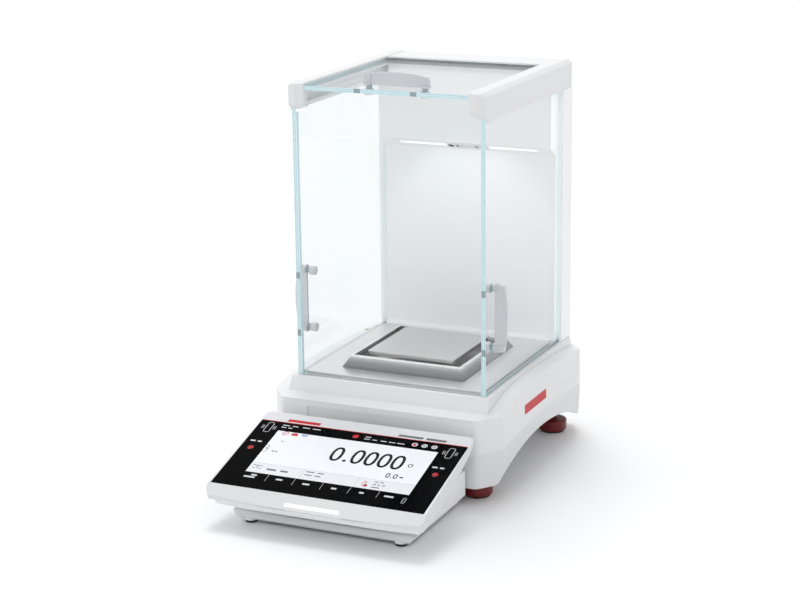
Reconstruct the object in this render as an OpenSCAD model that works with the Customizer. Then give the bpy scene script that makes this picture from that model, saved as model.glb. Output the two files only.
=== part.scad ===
// Analytical balance: a sculpted two-part base on four levelling feet, a glass draft shield with
// two side doors and a top door, a rear column with chamber lighting, and a tilting touch terminal.
// Origin: centre of the footprint, on the surface that the balance stands on. +Z is up and the
// terminal is on the -Y side. Distances called u run rearwards from the front face of the base.

/* [Overall size] */
// Width of the base at its widest, along the seam of its two housings
base_w = 230; // [210:1:280]
// Depth of the base from its front face to its rear face
base_d = 256; // [240:1:310]
// How far the terminal reaches in front of the base
terminal_reach = 137; // [137:1:170]
// Height of the top of the draft shield's rails
rail_top_z = 368; // [300:1:445]

/* [Base housings] */
// Wall thickness of the two plastic housings
wall = 3; // [2:0.5:4]
// Height of the flat shelf in front of the weighing chamber
shelf_z = 80; // [78:1:84]
// Height of the arched side edges at their highest point
crown_z = 90.8; // [88:0.1:92]
// Height of the seam between the housings at its highest point
seam_z = 55.6; // [52:0.1:58]
// Height of the underside at the four leg corners
leg_z = 16; // [16:0.5:20]
// Height of the arched underside at its highest point
arch_z = 41; // [36:0.5:42]
// Length of the front corner chamfers along the sides
front_chamfer = 25; // [15:1:30]
// Length of the rear corner chamfers along the sides
rear_chamfer = 29; // [15:1:35]
// Width of the corner chamfers across the base
corner_w = 18; // [10:1:22]

/* [Plinth and weighing chamber] */
// Height of the white plinth's top, the floor of the draft shield
plinth_top_z = 93.2; // [93:0.1:100]
// Distance from the base's front face to the front of the plinth
plinth_front_u = 20.3; // [15:0.1:30]
// Distance from the plinth's rear end to the base's rear face
plinth_rear_gap = 12; // [8:1:25]
// Shelf width from the plinth's side to the widest line of the base
shelf_w = 14.8; // [12:0.1:25]
// Thickness of the stainless floor plate
floor_plate_t = 1.2; // [1:0.1:2]
// Height of the floor plate's folded rim
floor_plate_h = 2.8; // [2.5:0.1:5]

/* [Draft shield glass] */
// Thickness of the glass panes
glass_t = 4; // [3:0.5:5]
// Distance from the outer face of a side door to the plinth's top edge
door_inset = 4; // [3.5:0.1:8]
// Distance from the base's front face to the front glass
glass_front_u = 30.4; // [30:0.1:40]
// How deep the panes stand in the plinth's grooves
groove_depth = 4.5; // [3:0.1:6]
// Free play on each side of a sliding pane in its groove
pane_gap = 0.3; // [0.2:0.05:0.4]

/* [Top rails] */
// Height of a rail at its outer side
rail_h = 26.5; // [24:0.5:32]
// Width of a rail
rail_w = 16.1; // [15:0.1:20]
// Rail lip outside the door groove
rail_lip = 1.5; // [1.2:0.1:3]
// Depth of the cast end caps in front of the rails
cap_d = 10.7; // [9:0.1:16]

/* [Column] */
// Depth of the column behind its lower front wall
column_d = 25.4; // [22:0.1:40]
// How far the upper front wall overhangs the lower one
column_overhang = 14; // [10:0.5:18]
// Height of the sloped lamp face
lamp_face_h = 9.3; // [8:0.1:16]
// Distance from the lamp face's upper edge to the rail top
lamp_drop = 80.5; // [70:0.5:100]
// Wall thickness of the column shells
column_wall = 2.4; // [2:0.1:4]
// Distance from the column's rear to the base's rear face
column_rear_gap = 9; // [6:1:20]

/* [Weighing pan] */
// Side of the square weighing pan
pan_w = 88; // [70:1:110]
// Height of the pan's top face
pan_z = 109; // [105:0.5:116]
// Thickness of the pan's sheet
pan_t = 1.4; // [1:0.1:2]
// Drop of the pan's folded edges
pan_lip = 3.4; // [2:0.1:5]
// Distance from the base's front face to the pan's centre
pan_u = 120; // [100:1:140]
// Width of the wind ring at its foot
ring_foot_w = 124.2; // [110:0.1:150]
// Width of the wind ring at its top edge
ring_top_w = 110.8; // [100:0.1:140]
// Height of the wind ring above the floor plate
ring_h = 10.7; // [8:0.1:14]
// Thickness of the wind ring's sheet
ring_t = 1.5; // [1:0.1:2]
// Radius of the load receiver's pin
receiver_r = 8; // [6:0.5:10]

/* [Levelling feet] */
// Radius of a levelling wheel
foot_r = 14; // [12:0.5:16]
// Height of a levelling wheel
foot_wheel_h = 11; // [8:0.1:12]
// Thickness of the rubber pad under a levelling wheel
foot_pad_h = 1.4; // [1:0.1:2]
// Radius of the levelling spindle
foot_spindle_r = 4; // [3:0.5:5]
// Distance of the feet from the base's widest line
foot_inset_x = 28.4; // [26:0.2:40]
// Distance of the feet from the base's front and rear faces
foot_inset_u = 29.3; // [27:0.1:40]

/* [Terminal] */
// Width of the terminal
terminal_w = 207.8; // [190:0.2:230]
// Tilt of the screen at rest, in degrees
tilt = 15.57; // [10:0.01:25]
// Width of the touch glass
touch_w = 203; // [180:1:208]
// Length of the touch glass, front to rear
touch_l = 101.5; // [90:0.5:110]
// Thickness of the touch glass
touch_t = 1.8; // [1.5:0.1:3]
// Length of the silver band behind the touch glass
band_l = 15.1; // [8:0.1:20]
// Height of the touch glass's front edge
touch_front_z = 38.6; // [38:0.1:46]
// Width of the lit screen area
screen_w = 157; // [140:1:170]
// Length of the lit screen area
screen_l = 65.3; // [55:0.1:75]
// Distance from the touch glass's front edge to the lit area
screen_u = 22.7; // [15:0.1:26]
// Width of the terminal's stand
stand_w = 175.4; // [150:0.2:190]
// Radius of the hinge pins
hinge_r = 2.5; // [2:0.5:4]

/* [Hidden] */
$fn = 64;

// Clearances: a running fit, a seated face and a cut that passes right through
run_fit = 0.05;
seat_gap = 0.1;
cut = 1;

// Front face and rear face of the base in Y
overall_d = base_d + terminal_reach;
front_face_y = overall_d / 2 - base_d;
function yu(u) = front_face_y + u;
half_w = base_w / 2;

// Draft of the side walls: half width lost at the top edge and at the underside
top_draft = 3;
foot_draft = 4.4;

// Arches seen from the side: place of the highest point, radius before it and behind it
crown_u = 105;
crown_r = [354, 1559];
seam_u = 130;
seam_r = [966, 1227];
arch_u = 120;
arch_r = [225, 297];

// Plinth
plinth_slant = 5.6;
plinth_bottom_z = shelf_z - 3;
plinth_half_bottom = half_w - shelf_w;
plinth_half_top = plinth_half_bottom - 2.2;
plinth_rear_u = base_d - plinth_rear_gap;
ledge_t = 3.4;
plinth_skin = 3;

// Draft shield: outer faces of the doors, inner faces, top door heights
door_x = plinth_half_top - door_inset;
door_in_x = door_x - glass_t;
groove_z = plinth_top_z - groove_depth;
rail_out_x = door_x + pane_gap + rail_lip;
rail_in_x = rail_out_x - rail_w;
rail_bottom_z = rail_top_z - rail_h;
rail_inner_bottom_z = rail_bottom_z + 5.2;
door_top_z = rail_bottom_z + 10;
door_bottom_z = groove_z + pane_gap;
cap_drop = 1.3;
cap_rear_u = glass_front_u + glass_t;
cap_front_u = cap_rear_u - cap_d;
top_pane_top_z = rail_top_z - 2.6;
top_pane_bottom_z = top_pane_top_z - glass_t;
top_slot_depth = 4.8;
top_pane_half = rail_in_x + top_slot_depth - pane_gap;
top_pane_front_u = cap_front_u + 3.3;

// Column
column_rear_u = base_d - column_rear_gap;
column_front_u = column_rear_u - column_d;
column_top_front_u = column_front_u - column_overhang;
column_half = door_in_x - 0.4;
column_neck_half = rail_in_x - 0.3;
column_top_z = top_pane_bottom_z - 0.9;
lamp_top_z = rail_top_z - lamp_drop;
lamp_bottom_z = lamp_top_z - lamp_face_h;
door_rear_u = column_rear_u - 11;
top_pane_rear_u = column_rear_u - 6;
side_cover_x = door_x + 0.4;
side_cover_t = 2.4;

// Handles: place of their middle, size of the fin
handle_u = 53;
handle_z = 160.9;
handle_l = 64.2;
handle_h = 9;
handle_crown = 3.3;
handle_t = 3.6;
knob_pitch = 54.5;
knob_r = 4.3;
knob_h = 5;
knob_pin_r = 2.5;

// Floor plate, pan and load receiver
floor_top_z = plinth_top_z + floor_plate_h;
floor_front_u = cap_rear_u + 1.2;
floor_rear_u = column_front_u - 8.4;
floor_half = door_in_x - 0.7;
receiver_shoulder_z = pan_z - pan_t - 7.6;
receiver_base_r = receiver_r + 4;
receiver_hole_r = receiver_base_r + 8;
hub_r = receiver_r + 8;

// Weighing cell and calibration unit
cell_w = 76;
cell_l = 96;
cell_z = 47;
cell_top_z = 74;
cell_u = pan_u - 4;
cal_x = 62;
cal_travel = 6;
cal_spindle_r = 3;
cal_weight_r = 15;
cal_weight_h = 11;
cal_base_z = 47;

// Feet and housing screws
foot_x = half_w - foot_inset_x;
foot_u = [foot_inset_u, base_d - foot_inset_u];
foot_neck_r = 3;
foot_neck_h = 5;
insert_h = 14;
insert_z = 27;
screw_x = 62;
screw_u = [22, base_d - 22];
screw_r = 2;
screw_head_r = 3.8;
screw_seat_z = 32;
screw_face_z = 40;
screw_boss_r = 6;

// Sockets in the rear wall: places, sizes and depths
ports_x = -22;
ports_w = 86;
ports_z = 57;
ports_h = 15;
ports_d = 17.4;
port_face_u = base_d - 0.6;
inlet_x = 52;
inlet_z = 64.5;
inlet_r = 6;
inlet_bore_r = 2.8;
inlet_depth = 11;

// Spirit level on the left rear shelf
vial_r = 4.2;
vial_x = -(half_w - 8.6);
vial_u = base_d - 44;
vial_foot_z = 74;

// Lamp face: slope, the two lenses and the ionizer between them; screws and vents of the rear cover
lamp_angle = atan2(lamp_face_h, column_overhang);
lens_l = 49;
lens_w = 5;
lens_x = [-45.5, 49];
module_w = 42;
module_l = 10;
module_x = 1;
column_screw_x = column_half - 6;
column_screw_z = [plinth_top_z + 12, rail_bottom_z - 12];
vent_z = lamp_bottom_z - 48.2;
vent_half = 45;
vent_pitch = 7;
sill_h = 4.6;

// Terminal: hinge axis, stand and docking tongue
touch_front_y = yu(9.9 - terminal_reach);
hinge_u = 41 - terminal_reach;
hinge_y = yu(hinge_u);
hinge_z = touch_front_z - 16;
hinge_x = 52;
hinge_l = 24;
ear_w = 6;
ear_x = hinge_l / 4 + ear_w / 2 + 0.2;
knuckle_r = hinge_r + 2.6;
stand_half = stand_w / 2;
stand_bottom_z = 2.5;
stand_skin = 9.5;
stand_foot_x = stand_half - 15.3;
stand_foot_u = [hinge_u - 12.2, -9.5];
dock_half = 22;
dock_z = 24;
dock_t = 5;
dock_in = 2.6;

// Terminal head, in its own frame: u along the glass and n along its normal
band_u = touch_l + band_l;
head_half = terminal_w / 2;
head_corner_r = 6;
chin_u = -12.5;
chin_bow = 3.3;
shell_n = -12.2;
shell_bottom_n = -17.9;
shell_skin = 2;
bar_l = 52;
bar_u = -9.9;
bar_w = 2.6;
lcd_t = 4.3;
head_screw_x = head_half - 17.9;
head_screw_u = [10, 64];
head_screw_r = 1.4;
head_boss_n = -13.1;

// Side outline of the bezel: chin, flat top and stepped underside
bezel_side = [
    [0, 0], [chin_u, -8], [chin_u + 4, -11.6], [-1.2, shell_n], [30.3, -14.7], [33.6, -12.7],
    [67.3, -14.3], [70.1, -11.4], [102.5, -7.5], [band_u, -2.4], [band_u, 0]
];

// ---------- outlines and shared shapes ----------

// Height at u of a flat arch with its highest point h at a, radius r[0] before it and r[1] behind
function arch(u, a, h, r) =
    let (q = u < a ? r[0] : r[1]) h - q + sqrt(max(q * q - (u - a) * (u - a), 0));
function arch_line(a, h, r, u0, u1, n = 28) =
    [for (i = [0 : n]) let (u = u0 + (u1 - u0) * i / n) [u, arch(u, a, h, r)]];
function reversed(list) = [for (i = [len(list) - 1 : -1 : 0]) list[i]];
function raised(line, dz) = [for (p = line) [p[0], p[1] + dz]];

// The arc that rounds corner b between neighbours a and c to radius r
function corner_arc(a, b, c, r, n) =
    let (
        p = (a - b) / norm(a - b),
        q = (c - b) / norm(c - b),
        half = acos(p * q) / 2,
        mid = b + (p + q) / norm(p + q) * r / sin(half),
        s = b + p * r / tan(half) - mid,
        e = b + q * r / tan(half) - mid,
        w0 = atan2(s[1], s[0]),
        turn = (atan2(e[1], e[0]) - w0 + 540) % 360 - 180
    )
    [for (i = [0 : n]) mid + r * [cos(w0 + turn * i / n), sin(w0 + turn * i / n)]];
function rounded(pts, r, n = 5) =
    let (k = len(pts))
    [for (i = [0 : k - 1]) let (ri = is_list(r) ? r[i] : r)
        each ri > 0 ? corner_arc(pts[(i + k - 1) % k], pts[i], pts[(i + 1) % k], ri, n) : [pts[i]]];
function mirrored(pts) = concat(pts, [for (p = reversed(pts)) [-p[0], p[1]]]);
function box_points(x0, y0, x1, y1) = [[x0, y0], [x1, y0], [x1, y1], [x0, y1]];

// A box between two corners
module span(a, b) {
    translate(a) cube(b - a);
}

// A side-view outline of (u, z) points, extruded between x0 and x1
module side_prism(x0, x1, pts) {
    translate([x0, front_face_y, 0]) rotate([90, 0, 90])
        linear_extrude(x1 - x0) polygon(pts);
}

// A front-view outline of (x, z) points, extruded rearwards from u0 to u1
module front_prism(u0, u1, pts) {
    translate([0, yu(u1), 0]) rotate([90, 0, 0]) linear_extrude(u1 - u0) polygon(pts);
}

// A plan outline of (x, u) points, extruded from z0 to z1
module plan_prism(z0, z1, pts) {
    translate([0, front_face_y, z0]) linear_extrude(z1 - z0) polygon(pts);
}

// A square frustum centred on the z axis
module frustum(w0, w1, h) {
    side = [[-w0 / 2, 0], [w0 / 2, 0], [w1 / 2, h], [-w1 / 2, h]];
    intersection() {
        rotate([90, 0, 0]) linear_extrude(w0 + w1, center = true) polygon(side);
        rotate([90, 0, 90]) linear_extrude(w0 + w1, center = true) polygon(side);
    }
}

module mirror_x() {
    children();
    mirror([1, 0, 0]) children();
}

module on_feet() {
    for (s = [-1, 1], u = foot_u) translate([s * foot_x, yu(u), 0]) children();
}

module on_screws() {
    for (s = [-1, 1], u = screw_u) translate([s * screw_x, yu(u), 0]) children();
}

// ---------- base ----------

// Plan outline of the base, i mm inside its outer face
function base_plan(i) = rounded(mirrored([
        [half_w - corner_w - i * 0.7, i],
        [half_w - i, front_chamfer + i * 0.3],
        [half_w - i, base_d - rear_chamfer - i * 0.3],
        [half_w - corner_w + 1 - i * 0.7, base_d - i]
    ]), 8);

// Front-view outline of the base, widest at the seam
function base_section(i) = mirrored([
        [half_w - foot_draft - i, leg_z - 2],
        [half_w - i, seam_z - 6],
        [half_w - i, seam_z],
        [half_w - top_draft - i, crown_z + 2]
    ]);

// Height of the underside, of the seam and of the top edge at u
function under_z(u) = max(leg_z, arch(u, arch_u, arch_z, arch_r));
function top_line(i) = raised(arch_line(crown_u, crown_z, crown_r, plinth_front_u, base_d), -i);
function seam_line(i) = raised(arch_line(seam_u, seam_z, seam_r, 0, base_d), i);
function under_line(i) = [for (k = [0 : 48]) let (u = base_d * k / 48) [u, under_z(u) + i]];

module base_block(i, outline) {
    intersection() {
        plan_prism(0, crown_z + 10, base_plan(i));
        front_prism(-cut, base_d + cut, base_section(i));
        side_prism(-half_w - cut, half_w + cut, outline);
    }
}

module lower_housing() {
    color("gainsboro") difference() {
        union() {
            difference() {
                base_block(0, concat(under_line(0), reversed(seam_line(0))));
                base_block(wall, concat(under_line(wall), reversed(seam_line(cut))));
            }
            intersection() {
                base_block(wall / 2, concat(under_line(wall / 2), reversed(seam_line(0))));
                union() {
                    on_feet() translate([0, 0, leg_z])
                        cylinder(r = foot_spindle_r + 5, h = insert_z + insert_h - leg_z);
                    on_screws() translate([0, 0, leg_z]) cylinder(r = screw_boss_r, h = screw_face_z - leg_z);
                }
            }
            // Posts under the weighing cell and plinths under the motor and its counterpart
            for (s = [-1, 1], e = [-1, 1])
                let (u = cell_u + e * (cell_l / 2 - 10), z = under_z(u) + wall / 2)
                    translate([s * (cell_w / 2 - 8), yu(u), z]) cylinder(r = 5, h = cell_z - z);
            for (s = [-1, 1])
                span([s * cal_x - 10, yu(cell_u) - 10, under_z(cell_u) + wall / 2],
                     [s * cal_x + 10, yu(cell_u) + 10, cal_base_z]);
        }
        on_feet() {
            translate([0, 0, insert_z]) cylinder(r = foot_spindle_r + 2.5, h = insert_h + cut);
            cylinder(r = foot_spindle_r + 0.6, h = insert_z + cut);
        }
        on_screws() {
            cylinder(r = screw_r + 0.2, h = screw_face_z + cut);
            cylinder(r = screw_head_r + 0.4, h = screw_seat_z);
        }
        // Socket for the terminal's docking tongue
        span([-dock_half - seat_gap * 3, yu(-cut), dock_z - seat_gap * 3],
             [dock_half + seat_gap * 3, yu(wall + cut), dock_z + dock_t + seat_gap * 3]);
    }
}

// Outer form of the plinth, grown by g
module plinth_form(g) {
    intersection() {
        front_prism(plinth_front_u - 8, plinth_rear_u + g, mirrored([
            [plinth_half_bottom + 0.5 + g, plinth_bottom_z],
            [plinth_half_top + g, plinth_top_z]
        ]));
        side_prism(-half_w, half_w, [
            [plinth_front_u - 1.3 - g, plinth_bottom_z],
            [plinth_rear_u + g, plinth_bottom_z],
            [plinth_rear_u + g, plinth_top_z],
            [plinth_front_u + plinth_slant - g, plinth_top_z]
        ]);
    }
}

module upper_housing() {
    outer = concat([[0, shelf_z], [plinth_front_u - 2, shelf_z]], top_line(0));
    inner = concat([[0, shelf_z - wall], [plinth_front_u - 2, shelf_z - wall]], top_line(wall));
    color("white") difference() {
        union() {
            difference() {
                base_block(0, concat(seam_line(0), reversed(outer)));
                base_block(wall, concat(seam_line(-cut), reversed(inner)));
            }
            intersection() {
                base_block(wall / 2, concat(seam_line(0), reversed(inner)));
                union() {
                    difference() {
                        span([-half_w, yu(0), plinth_bottom_z - ledge_t],
                             [half_w, yu(base_d), plinth_bottom_z]);
                        span([-cal_x - 30, yu(46), 0], [cal_x + 30, yu(base_d - 48), 100]);
                    }
                    on_screws() translate([0, 0, screw_face_z])
                        cylinder(r = screw_boss_r, h = plinth_bottom_z - screw_face_z);
                }
            }
        }
        plinth_form(seat_gap);
        on_screws() translate([0, 0, screw_face_z - cut]) cylinder(r = screw_r, h = 22);
        // Openings in the rear wall for the sockets
        span([ports_x - ports_w / 2 - 0.3, yu(base_d - 20), ports_z - 0.3],
             [ports_x + ports_w / 2 + 0.3, yu(base_d + cut), ports_z + ports_h + 0.3]);
        translate([inlet_x, yu(base_d - 20), inlet_z]) rotate([-90, 0, 0])
            cylinder(r = inlet_r + 0.3, h = 30);
        // Recess above the terminal in the front face
        span([-70, yu(-cut), 60], [70, yu(0.8), 74]);
        // Well for the spirit level on the left rear shelf
        translate([vial_x, yu(vial_u), 0]) cylinder(r = vial_r + 0.2, h = 100);
    }
}

module plinth_frame() {
    color("white") difference() {
        plinth_form(0);
        // Hollow underside
        span([-floor_half, yu(glass_front_u + glass_t + 3), plinth_bottom_z - cut],
             [floor_half, yu(plinth_rear_u - 4), plinth_top_z - plinth_skin]);
        // Grooves for the side doors, open at the rear
        mirror_x() span([door_in_x - pane_gap, yu(glass_front_u - pane_gap), groove_z],
                        [door_x + pane_gap, yu(plinth_rear_u + cut), plinth_top_z + cut]);
        // Groove for the front glass
        span([-door_in_x, yu(glass_front_u - seat_gap), groove_z],
             [door_in_x, yu(glass_front_u + glass_t + seat_gap), plinth_top_z + cut]);
        // Hole for the load receiver
        translate([0, yu(pan_u), 0]) cylinder(r = receiver_hole_r, h = plinth_top_z + cut);
        // Drip line outside each door and its end notch
        mirror_x() span([door_x + 1.7, yu(43), plinth_top_z - 0.8],
                        [door_x + 2.5, yu(column_front_u - 16), plinth_top_z + cut]);
        mirror_x() span([door_x + 1.2, yu(column_front_u - 16), plinth_top_z - 1.6],
                        [door_x + 3, yu(column_front_u - 10), plinth_top_z + cut]);
        // Cable way into the column
        span([-20, yu(column_front_u + 5), plinth_bottom_z - cut],
             [20, yu(plinth_rear_u - 6), plinth_top_z + cut]);
    }
}

module base_screws() {
    color("dimgray") on_screws() difference() {
        union() {
            translate([0, 0, screw_seat_z - 3]) cylinder(r = screw_head_r, h = 3);
            translate([0, 0, screw_seat_z]) cylinder(r = screw_r - run_fit, h = 26);
        }
        translate([0, 0, screw_seat_z - 4]) cylinder(r = 1.6, h = 2.6, $fn = 6);
    }
}

module foot_inserts() {
    color("goldenrod") on_feet() translate([0, 0, insert_z]) difference() {
        cylinder(r = foot_spindle_r + 2.45, h = insert_h);
        translate([0, 0, -cut]) cylinder(r = foot_spindle_r + run_fit, h = insert_h + 2 * cut);
    }
}

// One levelling wheel with its spindle, the pad's neck runs in its bore
module foot_wheel() {
    color("firebrick") difference() {
        union() {
            translate([0, 0, foot_pad_h]) rotate_extrude() polygon([
                [0, 0], [foot_r - 2.4, 0], [foot_r - 1.2, 0.5], [foot_r - 0.4, 1.5], [foot_r, 3],
                [foot_r, foot_wheel_h - 0.8], [foot_r - 0.8, foot_wheel_h], [0, foot_wheel_h]
            ]);
            translate([0, 0, foot_pad_h + foot_wheel_h])
                cylinder(r = foot_spindle_r, h = insert_z + insert_h - foot_pad_h - foot_wheel_h - 2);
        }
        cylinder(r = foot_neck_r + run_fit, h = foot_pad_h + foot_neck_h + 0.5);
    }
}

module foot_pad() {
    color("black") {
        cylinder(r = foot_r - 2.6, h = foot_pad_h);
        cylinder(r = foot_neck_r, h = foot_pad_h + foot_neck_h);
    }
}
module foot_at(s, u) {
    translate([s * foot_x, yu(u), 0]) children();
}
module foot_wheel_front_left() { foot_at(-1, foot_u[0]) foot_wheel(); }
module foot_wheel_front_right() { foot_at(1, foot_u[0]) foot_wheel(); }
module foot_wheel_rear_left() { foot_at(-1, foot_u[1]) foot_wheel(); }
module foot_wheel_rear_right() { foot_at(1, foot_u[1]) foot_wheel(); }
module foot_pad_front_left() { foot_at(-1, foot_u[0]) foot_pad(); }
module foot_pad_front_right() { foot_at(1, foot_u[0]) foot_pad(); }
module foot_pad_rear_left() { foot_at(-1, foot_u[1]) foot_pad(); }
module foot_pad_rear_right() { foot_at(1, foot_u[1]) foot_pad(); }

// ---------- weighing cell ----------

// Monolithic weighing cell: one aluminium block with its guide slits and lever window
module weigh_cell() {
    slit = 1.2;
    color("silver") translate([0, yu(cell_u), 0]) difference() {
        span([-cell_w / 2, -cell_l / 2, cell_z], [cell_w / 2, cell_l / 2, cell_top_z]);
        for (z = [cell_z + 5, cell_top_z - 5 - slit])
            span([-cell_w / 2 - cut, -cell_l / 2 + 12, z], [cell_w / 2 + cut, cell_l / 2 - 14, z + slit]);
        span([-cell_w / 2 - cut, -cell_l / 2 + 30, cell_z + 10],
             [cell_w / 2 + cut, cell_l / 2 - 34, cell_top_z - 10]);
        translate([0, cell_l / 2 - 20, cell_z + 9]) cylinder(r = 13.2, h = 30);
        for (s = [-1, 1], e = [-1, 1]) translate([s * (cell_w / 2 - 8), e * (cell_l / 2 - 10), cell_z - cut])
            cylinder(r = 2, h = 8);
    }
}

// Voice coil and magnet pot of the force compensation
module force_coil() {
    color("slategray") translate([0, yu(cell_u) + cell_l / 2 - 20, cell_z + 9]) difference() {
        cylinder(r = 13, h = cell_top_z - cell_z - 9.5);
        translate([0, 0, 8]) difference() {
            cylinder(r = 10, h = 13);
            cylinder(r = 8, h = 13);
        }
    }
}

// Post that carries the pan on the weighing cell
module load_receiver() {
    color("silver") translate([0, yu(pan_u), cell_top_z]) {
        cylinder(r = receiver_base_r, h = receiver_shoulder_z - cell_top_z);
        translate([0, 0, receiver_shoulder_z - cell_top_z]) cylinder(r = receiver_r, h = 6.4);
    }
}

// Motor that turns the calibration spindle
module cal_motor() {
    color("dimgray") difference() {
        translate([cal_x, yu(cell_u), cal_base_z]) cylinder(r = 9, h = 7);
        translate([cal_x, yu(cell_u), cal_base_z + 3]) cylinder(r = cal_spindle_r + run_fit, h = 5);
    }
}

module cal_spindle() {
    color("gold") translate([cal_x, yu(cell_u), cal_base_z + 3.1]) {
        cylinder(r = cal_spindle_r, h = cal_weight_h + cal_travel + 8);
        cylinder(r = cal_spindle_r / 2, h = cal_weight_h + cal_travel + 9);
    }
}

module cal_weight() {
    color("lightsteelblue") translate([cal_x, yu(cell_u), cal_base_z + 7.2]) difference() {
        cylinder(r = cal_weight_r, h = cal_weight_h);
        translate([0, 0, -cut]) cylinder(r = cal_spindle_r + run_fit, h = 20);
    }
}

// Main circuit board on the left of the weighing cell
module main_board() {
    x0 = -half_w + 14;
    x1 = -cell_w / 2 - 8;
    z = 60;
    y = yu(cell_u);
    color("darkgreen") {
        span([x0, y - 50, z], [x1, y + 60, z + 1.6]);
        for (k = [0 : 3]) span([x0 + 8, y - 40 + 24 * k, z + 1.6], [x0 + 24, y - 26 + 24 * k, z + 4]);
        for (x = [x0 + 4, x1 - 8]) span([x, y + 44, z - 13], [x + 4, y + 48, z]);
    }
}

// Socket block at the rear: two USB ports, a network port and a serial port
module rear_ports() {
    face = yu(port_face_u);
    color("darkslategray") difference() {
        span([ports_x - ports_w / 2, face - ports_d, ports_z],
             [ports_x + ports_w / 2, face, ports_z + ports_h]);
        for (k = [0 : 1]) span([ports_x - 38 + 17 * k, face - 11, ports_z + 4],
                               [ports_x - 24.5 + 17 * k, face + cut, ports_z + 10]);
        span([ports_x - 1, face - 12, ports_z + 1.5], [ports_x + 13, face + cut, ports_z + 13]);
        span([ports_x + 19, face - 6, ports_z + 3], [ports_x + 37, face + cut, ports_z + 12]);
    }
}

module power_inlet() {
    color("black") translate([inlet_x, yu(port_face_u), inlet_z]) rotate([90, 0, 0]) difference() {
        cylinder(r = inlet_r, h = 16);
        translate([0, 0, -cut]) cylinder(r = inlet_bore_r, h = inlet_depth + cut);
    }
}

module level_vial() {
    color("yellowgreen") translate([vial_x, yu(vial_u), 0]) difference() {
        translate([0, 0, vial_foot_z])
            cylinder(r = vial_r, h = arch(vial_u, crown_u, crown_z, crown_r) - vial_foot_z - 0.5);
        translate([0, 0, vial_foot_z - cut]) cylinder(r = vial_r - 1, h = 9);
    }
}

// ---------- column ----------

// Front wall line of the column, t mm behind its face, from the plinth upwards
function column_line(t) = [
        [column_front_u + t, plinth_top_z],
        [column_front_u + t, lamp_bottom_z + t * 0.45],
        [column_top_front_u + t, lamp_top_z + t * 0.45],
        [column_top_front_u + t, column_top_z]
    ];

// Column cross-section seen from the front: wide below the rails, narrow between them
function column_section(t) = mirrored([
        [column_half - t, plinth_top_z - cut],
        [column_half - t, rail_bottom_z - 0.3 - t],
        [column_neck_half - t, rail_bottom_z - 0.3 - t],
        [column_neck_half - t, column_top_z + cut]
    ]);

module column_form(t, rear_u) {
    intersection() {
        front_prism(column_top_front_u - cut, rear_u, column_section(t));
        side_prism(-half_w, half_w,
                   concat(column_line(t), [[rear_u, column_top_z - t], [rear_u, plinth_top_z + t]]));
    }
}

// Sloped lamp face: place of a point s mm up its slope, in a frame whose z is its outward normal
module on_lamp_face(x) {
    translate([x, yu(column_front_u - column_overhang / 2), lamp_bottom_z + lamp_face_h / 2])
        rotate([180 - lamp_angle, 0, 0]) children();
}

module lamp_slot(l, w) {
    cube([l + 2 * seat_gap, w + 2 * seat_gap, 16], center = true);
}

module column_front_panel() {
    color("whitesmoke") difference() {
        union() {
            difference() {
                column_form(0, column_rear_u - column_wall);
                column_form(column_wall, column_rear_u);
            }
            // Low sill in front of the column's foot
            intersection() {
                side_prism(-column_half, column_half, [
                    [floor_rear_u + 0.2, plinth_top_z],
                    [column_front_u + 1, plinth_top_z],
                    [column_front_u + 1, plinth_top_z + sill_h],
                    [column_front_u, plinth_top_z + sill_h],
                    [floor_rear_u + 0.2, plinth_top_z + floor_plate_h]
                ]);
                plan_prism(0, 200,
                    rounded(box_points(-column_half, floor_rear_u, column_half, column_front_u + 12), 6));
            }
        }
        // Slots for the two lamp lenses and the seat of the ionizer
        for (x = lens_x) on_lamp_face(x) lamp_slot(lens_l, lens_w);
        on_lamp_face(module_x) lamp_slot(module_w, module_l);
    }
}

module light_lens() {
    color("aliceblue") for (x = lens_x) on_lamp_face(x)
        translate([-lens_l / 2, -lens_w / 2, -2.2]) cube([lens_l, lens_w, 2]);
}

module light_board() {
    color("green") for (x = lens_x) on_lamp_face(x) {
        translate([-lens_l / 2, -4.5, -7]) cube([lens_l, 9, 1.4]);
        for (k = [-2 : 2]) translate([k * 9 - 1.5, -1.5, -5.6]) cube([3, 3, 1]);
    }
}

// Antistatic ionizer head in the middle of the lamp face, with its two nozzles
module ionizer_module() {
    color("white") on_lamp_face(module_x) difference() {
        translate([-module_w / 2, -module_l / 2, -7.5]) cube([module_w, module_l, 8.1]);
        for (s = [-1, 1]) translate([s * (module_w / 2 - 4), 0, -3]) cylinder(r = 1.8, h = 5);
        translate([-7, -3, -0.6]) cube([14, 6, 3]);
    }
}

module column_rear_cover() {
    color("white") difference() {
        front_prism(column_rear_u - column_wall, column_rear_u, mirrored([
            [column_half, plinth_top_z], [column_half, rail_bottom_z - 0.3],
            [column_neck_half, rail_bottom_z - 0.3], [column_neck_half, column_top_z]
        ]));
        for (k = [0 : 9]) let (z = vent_z + vent_pitch * k)
            span([-vent_half, yu(column_rear_u - 5), z], [vent_half, yu(column_rear_u + cut), z + 3]);
        for (s = [-1, 1], z = column_screw_z) translate([s * column_screw_x, yu(column_rear_u + cut), z])
            rotate([90, 0, 0]) cylinder(r = 1.7, h = 10);
    }
}

module column_screws() {
    color("gray") for (s = [-1, 1], z = column_screw_z)
        translate([s * column_screw_x, yu(column_rear_u), z]) rotate([90, 0, 0]) {
            cylinder(r = 1.65, h = 8);
            translate([0, 0, -1.4]) cylinder(r = 3, h = 1.4);
        }
}

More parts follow.
